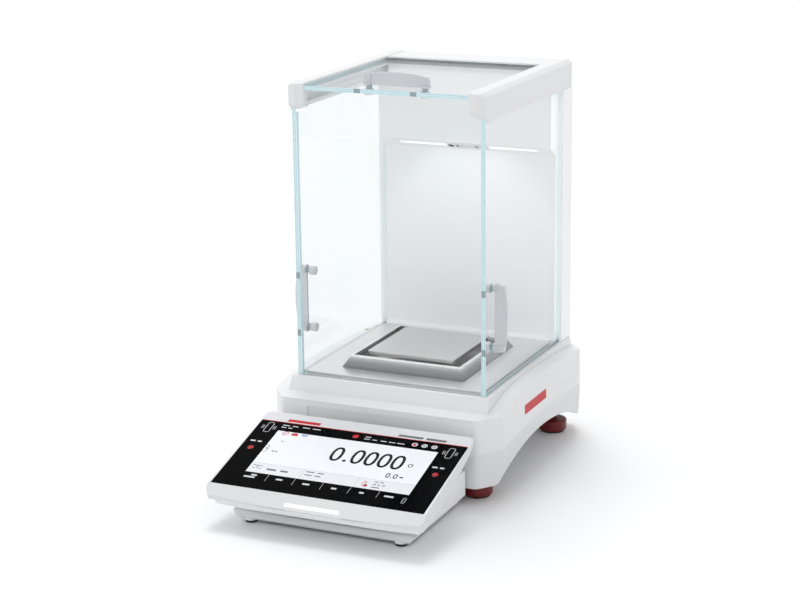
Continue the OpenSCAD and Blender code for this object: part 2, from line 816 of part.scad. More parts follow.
// Outer cover of the pocket that a side door slides through
module side_cover() {
    color("white") span([side_cover_x, yu(column_front_u), plinth_top_z],
                        [side_cover_x + side_cover_t, yu(column_rear_u), rail_bottom_z]);
}
module column_side_cover_right() { side_cover(); }
module column_side_cover_left() { mirror([1, 0, 0]) side_cover(); }

module column_top_cover() {
    color("white") span([-rail_in_x, yu(column_top_front_u), top_pane_top_z + 0.5],
                        [rail_in_x, yu(column_rear_u), rail_top_z - 0.6]);
}

// ---------- rails ----------

// Cross-section of the right rail: chamfered outside, grooves for the side door and the top door
module rail_section() {
    difference() {
        polygon([
            [rail_in_x, rail_inner_bottom_z], [rail_out_x, rail_bottom_z],
            [rail_out_x, rail_top_z - 3.4], [rail_out_x - 3.5, rail_top_z], [rail_in_x, rail_top_z]
        ]);
        polygon(box_points(door_in_x - pane_gap, rail_bottom_z - 10,
                           door_x + pane_gap, door_top_z + pane_gap));
        polygon(box_points(rail_in_x - cut, top_pane_bottom_z - pane_gap,
                           rail_in_x + top_slot_depth, top_pane_top_z + pane_gap));
        polygon(box_points(rail_in_x - cut, rail_inner_bottom_z + 3.4,
                           rail_in_x + 6, top_pane_bottom_z - 2.6));
        polygon(box_points(rail_in_x + 8.4, door_top_z + 2, rail_out_x - 1.8, rail_top_z - 6));
    }
}
module rail() {
    color("white") translate([0, yu(column_rear_u), 0]) rotate([90, 0, 0])
        linear_extrude(column_rear_u - cap_rear_u) rail_section();
}
module rail_right() { rail(); }
module rail_left() { mirror([1, 0, 0]) rail(); }

// Cast end cap with a vertical ridge and folded facets
module rail_cap() {
    ridge_x = rail_in_x + 8.3;
    ridge_z = rail_bottom_z + 10.5;
    front = yu(cap_front_u);
    rear = yu(cap_rear_u);
    color("silver") difference() {
        hull() polyhedron(points = [
                [rail_in_x, rear, rail_inner_bottom_z - cap_drop], [rail_in_x, rear, rail_top_z],
                [rail_out_x - 3.5, rear, rail_top_z], [rail_out_x, rear, rail_top_z - 3.4],
                [rail_out_x, rear, rail_bottom_z - cap_drop],
                [rail_in_x, front + 2.6, ridge_z - 3], [rail_in_x, front + 2.6, rail_top_z - 0.6],
                [ridge_x, front, ridge_z], [ridge_x, front, rail_top_z - 1.2],
                [rail_out_x - 3.5, front + 1.9, rail_top_z - 1], [rail_out_x, front + 3.4, rail_top_z - 4],
                [rail_out_x, front + 3.4, ridge_z - 5]
            ], faces = [[0, 1, 2], [3, 4, 5], [6, 7, 8], [9, 10, 11]]);
        span([door_in_x - pane_gap, yu(glass_front_u - pane_gap), rail_bottom_z - 4],
             [door_x + pane_gap, rear + cut, door_top_z + pane_gap]);
        span([rail_in_x - cut, yu(top_pane_front_u - pane_gap), top_pane_bottom_z - pane_gap],
             [rail_in_x + top_slot_depth, rear + cut, top_pane_top_z + pane_gap]);
    }
}
module rail_cap_right() { rail_cap(); }
module rail_cap_left() { mirror([1, 0, 0]) rail_cap(); }

// ---------- glass and doors ----------

module front_glass() {
    color("lightcyan", 0.4) difference() {
        span([-door_in_x + 0.3, yu(glass_front_u), groove_z],
             [door_in_x - 0.3, yu(glass_front_u + glass_t), top_pane_bottom_z - 0.5]);
        // Corners cleared for the rails and caps
        mirror_x() span([rail_in_x - seat_gap, yu(0), rail_bottom_z - cap_drop - seat_gap],
                        [half_w, yu(glass_front_u + glass_t + cut), rail_top_z + cut]);
    }
}

// A fin handle standing on a pane: length along x, height along z
module fin_handle() {
    rise = handle_crown;
    half = handle_l / 2;
    bow = (half * half + rise * rise) / (2 * rise);
    crest = [for (k = [-12 : 12]) let (x = (half - 1.5) * k / 12)
        [x, handle_h + rise - bow + sqrt(bow * bow - x * x)]];
    difference() {
        union() {
            rotate([90, 0, 0]) linear_extrude(handle_t, center = true)
                polygon(concat([[-half, 0]], crest, [[half, 0]]));
            translate([0, 0, 0.8]) linear_extrude(1.6, center = true)
                polygon(rounded(box_points(-half, -4.5, half, 4.5), 3));
        }
        // Shallow thumb hollows in both faces of the fin
        for (s = [-1, 1]) translate([0, s * (handle_t / 2 + 38.9), 6.4]) rotate([0, 90, 0])
            cylinder(r = 40, h = handle_l - 14, center = true, $fn = 180);
        for (s = [-1, 1]) translate([s * knob_pitch / 2, 0, -cut]) cylinder(r = knob_pin_r - 0.5, h = 1.5);
    }
}

// Two retaining knobs on the other face of the pane, with their pins through it
module pane_knobs() {
    for (s = [-1, 1]) translate([s * knob_pitch / 2, 0, -glass_t]) {
        translate([0, 0, -knob_h]) cylinder(r = knob_r, h = knob_h);
        cylinder(r = knob_pin_r, h = glass_t);
    }
}
module pane_holes() {
    for (s = [-1, 1]) translate([s * knob_pitch / 2, 0, -glass_t - cut])
        cylinder(r = knob_pin_r + seat_gap, h = glass_t + 2 * cut);
}

// Frame of a handle on the right door: its z points outwards and its x upwards
module on_right_door() {
    translate([door_x, yu(handle_u), handle_z]) rotate([0, 90, 0]) children();
}
module on_top_door() {
    translate([0, yu(handle_u), top_pane_top_z]) children();
}

module right_door_glass() {
    color("lightcyan", 0.4) difference() {
        span([door_in_x, yu(glass_front_u), door_bottom_z], [door_x, yu(door_rear_u), door_top_z]);
        on_right_door() pane_holes();
    }
}
module left_door_glass() { mirror([1, 0, 0]) right_door_glass(); }
module right_door_handle() { color("lightslategray") on_right_door() fin_handle(); }
module left_door_handle() { color("lightslategray") mirror([1, 0, 0]) on_right_door() fin_handle(); }
module right_door_knobs() { color("lightslategray") on_right_door() pane_knobs(); }
module left_door_knobs() { color("lightslategray") mirror([1, 0, 0]) on_right_door() pane_knobs(); }

module top_door_glass() {
    color("lightcyan", 0.4) difference() {
        span([-top_pane_half, yu(top_pane_front_u), top_pane_bottom_z],
             [top_pane_half, yu(top_pane_rear_u), top_pane_top_z]);
        on_top_door() pane_holes();
    }
}
module top_door_handle() { color("lightslategray") on_top_door() fin_handle(); }
module top_door_knobs() { color("lightslategray") on_top_door() pane_knobs(); }

// ---------- pan ----------

module floor_plate() {
    color("silver") difference() {
        plan_prism(plinth_top_z, floor_top_z,
            rounded(box_points(-floor_half, floor_front_u, floor_half, floor_rear_u), 4));
        plan_prism(plinth_top_z - cut, floor_top_z - floor_plate_t,
            box_points(-floor_half + floor_plate_t, floor_front_u + floor_plate_t,
                       floor_half - floor_plate_t, floor_rear_u - floor_plate_t));
        translate([0, yu(pan_u), 0]) cylinder(r = receiver_hole_r - 2, h = floor_top_z + cut);
    }
}

module wind_ring() {
    color("silver") translate([0, yu(pan_u), floor_top_z]) difference() {
        frustum(ring_foot_w, ring_top_w, ring_h);
        translate([0, 0, -0.01])
            frustum(ring_foot_w - 2.4 * ring_t, ring_top_w - 2.4 * ring_t - 0.02, ring_h + 0.03);
    }
}

// Square pan of folded sheet: four lips with open corners, the front and rear ones with rolled ends
module weighing_pan() {
    half = pan_w / 2;
    open = 3;
    color("silver") translate([0, yu(pan_u), pan_z - pan_t]) {
        linear_extrude(pan_t) polygon(rounded(box_points(-half, -half, half, half), 1.2));
        for (a = [0 : 90 : 270]) rotate([0, 0, a])
            span([-half + open, -half, -pan_lip + pan_t], [half - open, -half + pan_t, pan_t / 2]);
        for (s = [-1, 1], e = [-1, 1]) translate([s * (half - open), e * (half - pan_t / 2 - 0.6), -1.2])
            rotate([90, 0, 0]) cylinder(r = 1.4, h = pan_t, center = true);
    }
}

// Hub under the pan that seats on the load receiver
module pan_hub() {
    color("dimgray") translate([0, yu(pan_u), receiver_shoulder_z]) difference() {
        cylinder(r = hub_r, h = 7.6);
        translate([0, 0, -cut]) cylinder(r = receiver_r + run_fit, h = 6.6 + cut);
    }
}

// ---------- terminal ----------

// Frame of the terminal's head: y runs rearwards along the glass, z is its normal
module in_head() {
    translate([0, touch_front_y, touch_front_z]) rotate([tilt, 0, 0]) children();
}

// Plan of the head, i mm inside: bowed front edge and rounded rear corners
function head_plan(i) =
    let (h = head_half - i, r = (h * h + chin_bow * chin_bow) / (2 * chin_bow))
    concat(
        [for (k = [-10 : 10]) let (x = (h - 3) * k / 10) [x, chin_u + i + r - sqrt(r * r - x * x)]],
        [[h, chin_u + i + chin_bow + 4]],
        corner_arc([h, 0], [h - 2, band_u - i], [0, band_u - i], head_corner_r, 5),
        corner_arc([0, band_u - i], [-h + 2, band_u - i], [-h, 0], head_corner_r, 5),
        [[-h, chin_u + i + chin_bow + 4]]
    );
module head_prism(x0, x1, pts) {
    translate([x0, 0, 0]) rotate([90, 0, 90]) linear_extrude(x1 - x0) polygon(pts);
}

module terminal_bezel() {
    color("white") in_head() difference() {
        union() {
            difference() {
                intersection() {
                    translate([0, 0, -30]) linear_extrude(40) polygon(head_plan(0));
                    head_prism(-head_half - cut, head_half + cut, bezel_side);
                }
                // Hollow underside
                intersection() {
                    translate([0, 0, -30]) linear_extrude(30 - 7) polygon(head_plan(2.5));
                    translate([-head_half, -6, -40]) cube([2 * head_half, 88, 40 - 7]);
                }
            }
            on_head_screws() translate([0, 0, head_boss_n]) cylinder(r = 4, h = -head_boss_n - 6.9);
        }
        on_head_screws() translate([0, 0, head_boss_n - cut]) cylinder(r = head_screw_r, h = 6);
        // Seat of the touch glass and window of the screen
        translate([-touch_w / 2 - seat_gap, -seat_gap, -touch_t])
            cube([touch_w + 2 * seat_gap, touch_l + 2 * seat_gap, touch_t + cut]);
        translate([-screen_w / 2 - 5, screen_u - 5, -20]) cube([screen_w + 10, screen_l + 15, 30]);
        // Slot of the light bar in the chin
        translate([-bar_l / 2 - seat_gap, bar_u - seat_gap, -20])
            cube([bar_l + 2 * seat_gap, bar_w + 2 * seat_gap, 30]);
    }
}
module on_head_screws() {
    for (s = [-1, 1], u = head_screw_u) translate([s * head_screw_x, u, 0]) children();
}

module touch_glass() {
    color("black") in_head() translate([0, 0, -touch_t])
        linear_extrude(touch_t) polygon(rounded(box_points(-touch_w / 2, 0, touch_w / 2, touch_l), 2));
}

module lcd_module() {
    color("lightgray") in_head()
        translate([-screen_w / 2 - 4, screen_u - 4, -touch_t - lcd_t - seat_gap])
            cube([screen_w + 8, screen_l + 13, lcd_t]);
}

module light_bar() {
    color("aliceblue") in_head() intersection() {
        translate([-bar_l / 2, bar_u, -10.5]) cube([bar_l, bar_w, 9]);
        head_prism(-head_half, head_half, [[0, 0.05], [chin_u, -7.95], [chin_u, -20], [0, -20]]);
    }
}

// Lower shell of the head with the two hinge bosses
module terminal_lower_shell() {
    color("lightgray") difference() {
        union() {
            in_head() difference() {
                intersection() {
                    translate([0, 0, shell_bottom_n]) linear_extrude(-shell_bottom_n - 7.2)
                        polygon(head_plan(4));
                    head_prism(-head_half, head_half, [
                        [-8, -12.5], [-7.2, shell_bottom_n], [68, shell_bottom_n],
                        [80.5, -12.2], [80.5, -7.2], [-5.8, -7.2], [-5.8, -12.5]
                    ]);
                }
                intersection() {
                    translate([0, 0, shell_bottom_n + shell_skin]) linear_extrude(-shell_bottom_n)
                        polygon(head_plan(6.5));
                    head_prism(-head_half, head_half, [
                        [-3, 0], [-3, shell_bottom_n + shell_skin], [67, shell_bottom_n + shell_skin],
                        [78.5, -10.7], [78.5, 0]
                    ]);
                }
            }
            mirror_x() translate([hinge_x, hinge_y, hinge_z]) {
                rotate([0, 90, 0]) cylinder(r = knuckle_r, h = hinge_l / 2, center = true);
                span([-hinge_l / 4, -4, 0], [hinge_l / 4, 4, 7.2]);
            }
            in_head() on_head_screws() translate([0, 0, shell_bottom_n])
                cylinder(r = 5, h = head_boss_n - shell_bottom_n);
        }
        in_head() on_head_screws() translate([0, 0, shell_bottom_n - cut]) {
            cylinder(r = 3, h = 1.6 + cut);
            cylinder(r = 1.6, h = 12);
        }
        mirror_x() translate([hinge_x, hinge_y, hinge_z]) rotate([0, 90, 0])
            cylinder(r = hinge_r + run_fit, h = hinge_l + 4, center = true);
    }
}

module terminal_board() {
    color("darkgreen") in_head() {
        translate([-60, 20, shell_bottom_n + shell_skin + 2]) cube([120, 40, 1.6]);
        for (k = [0 : 2]) translate([-45 + 32 * k, 30, shell_bottom_n + shell_skin + 3.6])
            cube([14, 14, 1.8]);
        for (s = [-1, 1]) translate([s * 52 - 2, 38, shell_bottom_n + shell_skin]) cube([4, 4, 2]);
    }
}

// Wedge stand that the head tilts on, with its docking tongue
module terminal_stand() {
    outline = [
        [hinge_u - 20.5, 6.7], [hinge_u - 17, 10.6], [hinge_u - 8, 12], [hinge_u + 36, 24],
        [hinge_u + 72, 33.8], [-3, 33.8], [-3, stand_bottom_z], [hinge_u - 14, stand_bottom_z]
    ];
    hollow = [
        [hinge_u - 12, stand_bottom_z - cut], [hinge_u - 12, 8], [hinge_u - 8, 9.4], [hinge_u + 36, 21.4],
        [hinge_u + 72, 31.2], [-5.5, 31.2], [-5.5, stand_bottom_z - cut]
    ];
    color("lightgray") difference() {
        union() {
            difference() {
                intersection() {
                    side_prism(-stand_half, stand_half, outline);
                    front_prism(-terminal_reach, 0, mirrored([
                        [stand_half - 7, stand_bottom_z], [stand_half - 4.6, 6.7], [stand_half, 10.6],
                        [stand_half, 40]
                    ]));
                }
                side_prism(-stand_half + stand_skin, stand_half - stand_skin, hollow);
            }
            span([-dock_half, yu(-5), dock_z], [dock_half, yu(dock_in), dock_z + dock_t]);
            // Hinge ears on both sides of each boss
            mirror_x() for (s = [-1, 1]) translate([hinge_x + s * ear_x, 0, 0]) hull() {
                translate([0, hinge_y, hinge_z]) rotate([0, 90, 0])
                    cylinder(r = knuckle_r, h = ear_w, center = true, $fn = 32);
                translate([-ear_w / 2, hinge_y - 6, 10]) cube([ear_w, 22, 2]);
            }
            on_stand_feet() translate([0, 0, stand_bottom_z]) cylinder(r = 6, h = 5);
        }
        mirror_x() translate([hinge_x, hinge_y, hinge_z]) rotate([0, 90, 0])
            cylinder(r = hinge_r, h = hinge_l, center = true);
    }
}
module on_stand_feet() {
    for (s = [-1, 1], u = stand_foot_u) translate([s * stand_foot_x, yu(u), 0]) children();
}

module terminal_feet() {
    color("black") on_stand_feet() cylinder(r = 5, h = stand_bottom_z);
}

module hinge_pins() {
    color("gray") mirror_x() translate([hinge_x, hinge_y, hinge_z]) rotate([0, 90, 0])
        cylinder(r = hinge_r, h = hinge_l, center = true);
}

module terminal_screws() {
    color("gray") in_head() on_head_screws() translate([0, 0, shell_bottom_n + 0.2]) {
        cylinder(r = 2.8, h = 1.4);
        cylinder(r = head_screw_r, h = 9);
    }
}

lower_housing();
upper_housing();
plinth_frame();
base_screws();
foot_inserts();
weigh_cell();
force_coil();
load_receiver();
cal_motor();
cal_spindle();
cal_weight();
main_board();
rear_ports();
power_inlet();
level_vial();
column_front_panel();
column_rear_cover();
column_side_cover_left();
column_side_cover_right();
column_top_cover();
column_screws();
rail_left();
rail_right();
rail_cap_left();
rail_cap_right();
front_glass();
light_lens();
light_board();
ionizer_module();
floor_plate();
wind_ring();
weighing_pan();
pan_hub();
left_door_glass();
left_door_handle();
left_door_knobs();
right_door_glass();
right_door_handle();
right_door_knobs();
top_door_glass();
top_door_handle();
top_door_knobs();
foot_wheel_front_left();
foot_wheel_front_right();
foot_wheel_rear_left();
foot_wheel_rear_right();
foot_pad_front_left();
foot_pad_front_right();
foot_pad_rear_left();
foot_pad_rear_right();
terminal_bezel();
terminal_lower_shell();
touch_glass();
lcd_module();
light_bar();
terminal_board();
terminal_stand();
terminal_feet();
hinge_pins();
terminal_screws();
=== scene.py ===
"""The looks of the analytical balance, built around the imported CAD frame. Metres, +Z up, terminal on -Y."""

import math

import bmesh
import bpy
from mathutils import Matrix, Vector


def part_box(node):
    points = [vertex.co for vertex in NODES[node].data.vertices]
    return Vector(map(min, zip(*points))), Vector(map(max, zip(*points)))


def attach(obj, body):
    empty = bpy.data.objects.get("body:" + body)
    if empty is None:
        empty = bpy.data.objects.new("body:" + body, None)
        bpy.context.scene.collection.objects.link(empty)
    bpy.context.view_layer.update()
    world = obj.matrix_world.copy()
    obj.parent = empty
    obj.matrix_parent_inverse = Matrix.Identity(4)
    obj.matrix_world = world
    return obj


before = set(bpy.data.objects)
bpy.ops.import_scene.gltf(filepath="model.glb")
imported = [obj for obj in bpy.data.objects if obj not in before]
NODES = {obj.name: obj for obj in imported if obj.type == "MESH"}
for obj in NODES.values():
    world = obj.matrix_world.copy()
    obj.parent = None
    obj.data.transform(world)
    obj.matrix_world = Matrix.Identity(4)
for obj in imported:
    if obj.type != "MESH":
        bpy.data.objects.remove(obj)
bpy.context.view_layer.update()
MM = 0.001

# ---------------------------------------------------------------- camera, floor and light

CAMERA_PLACE = Vector((0.73504, -1.62605, 0.64546))
CAMERA_YAW = math.radians(24.396)
CAMERA_PITCH = math.radians(15.017)
CAMERA_ROLL = math.radians(-0.666)
CAMERA_LENS = 90.566
CAMERA_REACH = 100
SENSOR_WIDTH = 36

# The studio's brightness at its left and right end, the floor's half width in metres, the soft key light
WORLD_LEFT, WORLD_RIGHT = 1.06, 0.80
WORLD_COLOUR = (0.985, 0.99, 1.0, 1)
FLOOR_HALF = 14.0
KEY_PLACE, KEY_STRENGTH, KEY_SPREAD = (-0.45, 0.85, 2.4), 1.0, 24

# The chamber lamp: its place and target from the lens's box, in metres, then watts, cone and soft share
LAMP_FORWARD, LAMP_UP = 0.09, 0.01
LAMP_AIM_BACK, LAMP_AIM_DOWN = 0.02, 0.10
LAMP_WATTS, LAMP_CONE, LAMP_SOFTNESS = 0.085, 84, 0.35
LAMP_SIZE = 0.012


def make_camera():
    yaw, pitch = CAMERA_YAW, CAMERA_PITCH
    back = Vector((math.sin(yaw) * math.cos(pitch), -math.cos(yaw) * math.cos(pitch), math.sin(pitch)))
    level = (-back).cross(Vector((0, 0, 1))).normalized()
    above = back.cross(level)
    right = level * math.cos(CAMERA_ROLL) + above * math.sin(CAMERA_ROLL)
    up = above * math.cos(CAMERA_ROLL) - level * math.sin(CAMERA_ROLL)
    data = bpy.data.cameras.new("camera")
    data.lens = CAMERA_LENS
    data.sensor_width = SENSOR_WIDTH
    data.clip_end = CAMERA_REACH
    camera = bpy.data.objects.new("camera", data)
    axes = Matrix((right, up, back)).transposed().to_4x4()
    camera.matrix_world = Matrix.Translation(CAMERA_PLACE) @ axes
    bpy.context.scene.collection.objects.link(camera)
    bpy.context.scene.camera = camera


def aimed(name, data, place, target):
    light = bpy.data.objects.new(name, data)
    light.location = place
    light.rotation_euler = (Vector(target) - Vector(place)).to_track_quat("-Z", "Y").to_euler()
    bpy.context.scene.collection.objects.link(light)


def soft_sun(name, place, strength, spread):
    data = bpy.data.lights.new(name, "SUN")
    data.energy = strength
    data.angle = math.radians(spread)
    aimed(name, data, place, (0, 0, 0))


def spot_light(name, place, target, watts, cone, softness):
    data = bpy.data.lights.new(name, "SPOT")
    data.energy = watts
    data.spot_size = math.radians(cone)
    data.spot_blend = softness
    data.shadow_soft_size = LAMP_SIZE
    aimed(name, data, place, target)


def make_world():
    world = bpy.data.worlds.new("studio")
    world.use_nodes = True
    tree = world.node_tree
    tree.nodes.clear()
    shade = tree.nodes.new("ShaderNodeBackground")
    out = tree.nodes.new("ShaderNodeOutputWorld")
    coords = tree.nodes.new("ShaderNodeTexCoord")
    split = tree.nodes.new("ShaderNodeSeparateXYZ")
    across = tree.nodes.new("ShaderNodeMapRange")
    tree.links.new(coords.outputs["Generated"], split.inputs[0])
    tree.links.new(split.outputs["X"], across.inputs["Value"])
    across.inputs["From Min"].default_value = -1
    across.inputs["To Min"].default_value = WORLD_LEFT
    across.inputs["To Max"].default_value = WORLD_RIGHT
    shade.inputs["Color"].default_value = WORLD_COLOUR
    tree.links.new(across.outputs[0], shade.inputs["Strength"])
    tree.links.new(shade.outputs[0], out.inputs["Surface"])
    bpy.context.scene.world = world


def make_floor(material):
    mesh = bpy.data.meshes.new("floor")
    half = FLOOR_HALF
    corners = [(-half, -half, 0), (half, -half, 0), (half, half, 0), (-half, half, 0)]
    mesh.from_pydata(corners, [], [(0, 1, 2, 3)])
    mesh.materials.append(material)
    floor = bpy.data.objects.new("floor", mesh)
    bpy.context.scene.collection.objects.link(floor)


# ---------------------------------------------------------------- materials


class Graph:
    """A material's node tree, with short calls for what the materials below share."""

    def __init__(self, name):
        self.material = bpy.data.materials.new(name)
        self.material.use_nodes = True
        self.tree = self.material.node_tree
        self.tree.nodes.clear()
        self.output = self.tree.nodes.new("ShaderNodeOutputMaterial")
        self.place = self.tree.nodes.new("ShaderNodeTexCoord").outputs["Object"]

    def node(self, kind, **inputs):
        made = self.tree.nodes.new("ShaderNode" + kind)
        for key, value in inputs.items():
            self.set(made.inputs[key.replace("_", " ")], value)
        return made

    def set(self, socket, value):
        if isinstance(value, bpy.types.NodeSocket):
            self.tree.links.new(value, socket)
        else:
            socket.default_value = value

    def stretched(self, scale):
        mapping = self.tree.nodes.new("ShaderNodeMapping")
        self.tree.links.new(self.place, mapping.inputs["Vector"])
        mapping.inputs["Scale"].default_value = scale
        return mapping.outputs[0]

    def noise(self, scale, detail=2.0, stretch=None):
        vector = self.stretched(stretch) if stretch else self.place
        made = self.node("TexNoise", Scale=scale, Detail=detail, Vector=vector)
        return made.outputs[0]

    def ranged(self, value, low, high):
        made = self.node("MapRange", To_Min=low, To_Max=high)
        self.tree.links.new(value, made.inputs["Value"])
        return made.outputs[0]

    def shades(self, value, *stops):
        """A colour ramp over value; each stop is (position, colour)."""
        made = self.tree.nodes.new("ShaderNodeValToRGB")
        self.tree.links.new(value, made.inputs["Fac"])
        elements = made.color_ramp.elements
        while len(elements) < len(stops):
            elements.new(0.5)
        for element, (position, colour) in zip(elements, stops):
            element.position = position
            element.color = (*colour, 1)
        return made.outputs["Color"]

    def bump(self, height, strength, distance, under=None):
        made = self.node("Bump", Strength=strength, Distance=distance, Height=height)
        if under is not None:
            self.tree.links.new(under, made.inputs["Normal"])
        return made.outputs[0]

    def math(self, operation, a, b=0.0):
        made = self.tree.nodes.new("ShaderNodeMath")
        made.operation = operation
        self.set(made.inputs[0], a)
        self.set(made.inputs[1], b)
        return made.outputs[0]

    def axes(self, vector):
        """The X, Y and Z of a vector as three sockets."""
        split = self.tree.nodes.new("ShaderNodeSeparateXYZ")
        self.tree.links.new(vector, split.inputs[0])
        return split.outputs

    def surface(self, shader):
        self.tree.links.new(shader, self.output.inputs["Surface"])
        return self.material

    def painted_slit_light(self, made, flank):
        """Painted light that lifts the shade in the slit beside the door glass, on the faces at x = flank and
        -flank.
        """
        aside = self.math("ABSOLUTE", self.axes(self.place)["X"])
        off = self.math("ABSOLUTE", self.math("SUBTRACT", aside, flank))
        strength = self.math("MULTIPLY", self.math("LESS_THAN", off, SLIT_SKIN), PAINTED_SLIT_GLOW)
        made.inputs["Emission Color"].default_value = (0.95, 0.98, 1.0, 1)
        self.tree.links.new(strength, made.inputs["Emission Strength"])

    def principled(self, **inputs):
        return self.surface(self.node("BsdfPrincipled", **inputs).outputs[0])


# Painted light on the faces beside the doors, against their shade: how far off their plane still counts, in
# metres, and their glow
SLIT_SKIN = 0.00012
PAINTED_SLIT_GLOW = 0.24


def scaled(colour, share):
    return tuple(min(1.0, c * share) for c in colour)


PLASTIC_IOR = 1.5


def moulded_plastic(name, colour, roughness=0.38, grain=0.10, flank=None):
    """Injection-moulded shell: a fine spark-eroded grain, slow shade drift and uneven gloss."""
    g = Graph(name)
    drift = g.noise(9, 3)
    base = g.shades(drift, (0.3, scaled(colour, 0.975)), (0.7, scaled(colour, 1.01)))
    fine = g.noise(2300, 3)
    rough = g.ranged(g.noise(160, 4), roughness - 0.05, roughness + 0.06)
    normal = g.bump(fine, grain, 0.00006)
    made = g.node("BsdfPrincipled", Base_Color=base, Roughness=rough, Normal=normal, IOR=PLASTIC_IOR)
    # With flank, painted light lifts the shade on the faces beside the door glass
    if flank:
        g.painted_slit_light(made, flank)
    return g.surface(made.outputs[0])


def painted_metal(name, colour, roughness=0.42, flank=None):
    """Powder coat on sheet or extrusion: soft orange peel over a very fine speckle."""
    g = Graph(name)
    speckle = g.noise(1500, 2)
    base = g.shades(speckle, (0.35, scaled(colour, 0.985)), (0.65, scaled(colour, 1.005)))
    peel = g.noise(420, 2)
    rough = g.ranged(g.noise(60, 3), roughness - 0.04, roughness + 0.05)
    made = g.node("BsdfPrincipled", Base_Color=base, Roughness=rough, Normal=g.bump(peel, 0.015, 0.0001))
    # With flank, painted light lifts the shade on the faces beside the door glass
    if flank:
        g.painted_slit_light(made, flank)
    return g.surface(made.outputs[0])


def brushed_steel(name, colour, roughness, stretch, streak=0.05, bump=0.12):
    """Stainless sheet with its brushing along the axis that stretch leaves long."""
    g = Graph(name)
    lines = g.noise(1.0, 6, stretch)
    broad = g.noise(22, 3)
    tone = g.math("MULTIPLY", g.math("ADD", lines, broad), 0.5)
    base = g.shades(tone, (0.3, scaled(colour, 1 - streak)), (0.7, scaled(colour, 1 + streak / 2)))
    rough = g.ranged(lines, roughness - 0.07, roughness + 0.09)
    normal = g.bump(lines, bump, 0.00003)
    return g.principled(Base_Color=base, Metallic=1.0, Roughness=rough, Normal=normal)


def steel_with_painted_reflection(name, node_name):
    """Polished folded steel, its reflection painted into the colour: graded by height from dark at the foot
    to bright at the top edge.
    """
    g = Graph(name)
    low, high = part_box(node_name)
    spot = g.tree.nodes.new("ShaderNodeSeparateXYZ")
    g.tree.links.new(g.place, spot.inputs[0])
    rise = g.node("MapRange", From_Min=low.z, From_Max=high.z)
    g.tree.links.new(spot.outputs["Z"], rise.inputs["Value"])
    # Painted reflection: colour graded by height with a faint smear, standing in for what the ring mirrors
    painted_reflection_level = g.math("ADD", rise.outputs[0], g.math("MULTIPLY", g.noise(30, 3, (6, 6, 60)), 0.10))
    base = g.shades(painted_reflection_level, (0.05, (0.05, 0.05, 0.05)), (0.14, (0.17, 0.17, 0.17)), (0.60, (0.27, 0.27, 0.27)),
                    (0.88, (0.50, 0.50, 0.50)), (1.0, (0.93, 0.93, 0.93)))
    rough = g.ranged(g.noise(60, 4), 0.10, 0.20)
    return g.principled(Base_Color=base, Metallic=1.0, Roughness=rough)


def bare_metal(name, colour, roughness=0.32, tool_marks=900):
    """Machined or cast metal with faint tool marks."""
    g = Graph(name)
    marks = g.noise(tool_marks, 4)
    base = g.shades(g.noise(35, 3), (0.3, scaled(colour, 0.93)), (0.7, scaled(colour, 1.03)))
    rough = g.ranged(marks, roughness - 0.08, roughness + 0.1)
    return g.principled(Base_Color=base, Metallic=1.0, Roughness=rough, Normal=g.bump(marks, 0.1, 0.00005))


def rubber(name, colour):
    g = Graph(name)
    base = g.shades(g.noise(700, 3), (0.3, scaled(colour, 0.8)), (0.7, scaled(colour, 1.3)))
    rough = g.ranged(g.noise(90, 3), 0.7, 0.9)
    return g.principled(Base_Color=base, Roughness=rough, Normal=g.bump(g.noise(1800, 2), 0.3, 0.0001))


# Glass: how square a face is to its axis, light let through, mirror share head-on and at a grazing angle,
# and the painted glow of the edge
FACE_SQUARE = 0.9
CLARITY = 0.985
MIRROR_AHEAD, MIRROR_GRAZING, GRAZING_POWER = 0.035, 0.5, 5.0
PAINTED_EDGE_GLOW = 0.10
# Half heights in metres between which the painted dark reflection of a knob's bore fades out
KNOT_CORE, KNOT_RIM = 0.0022, 0.0036


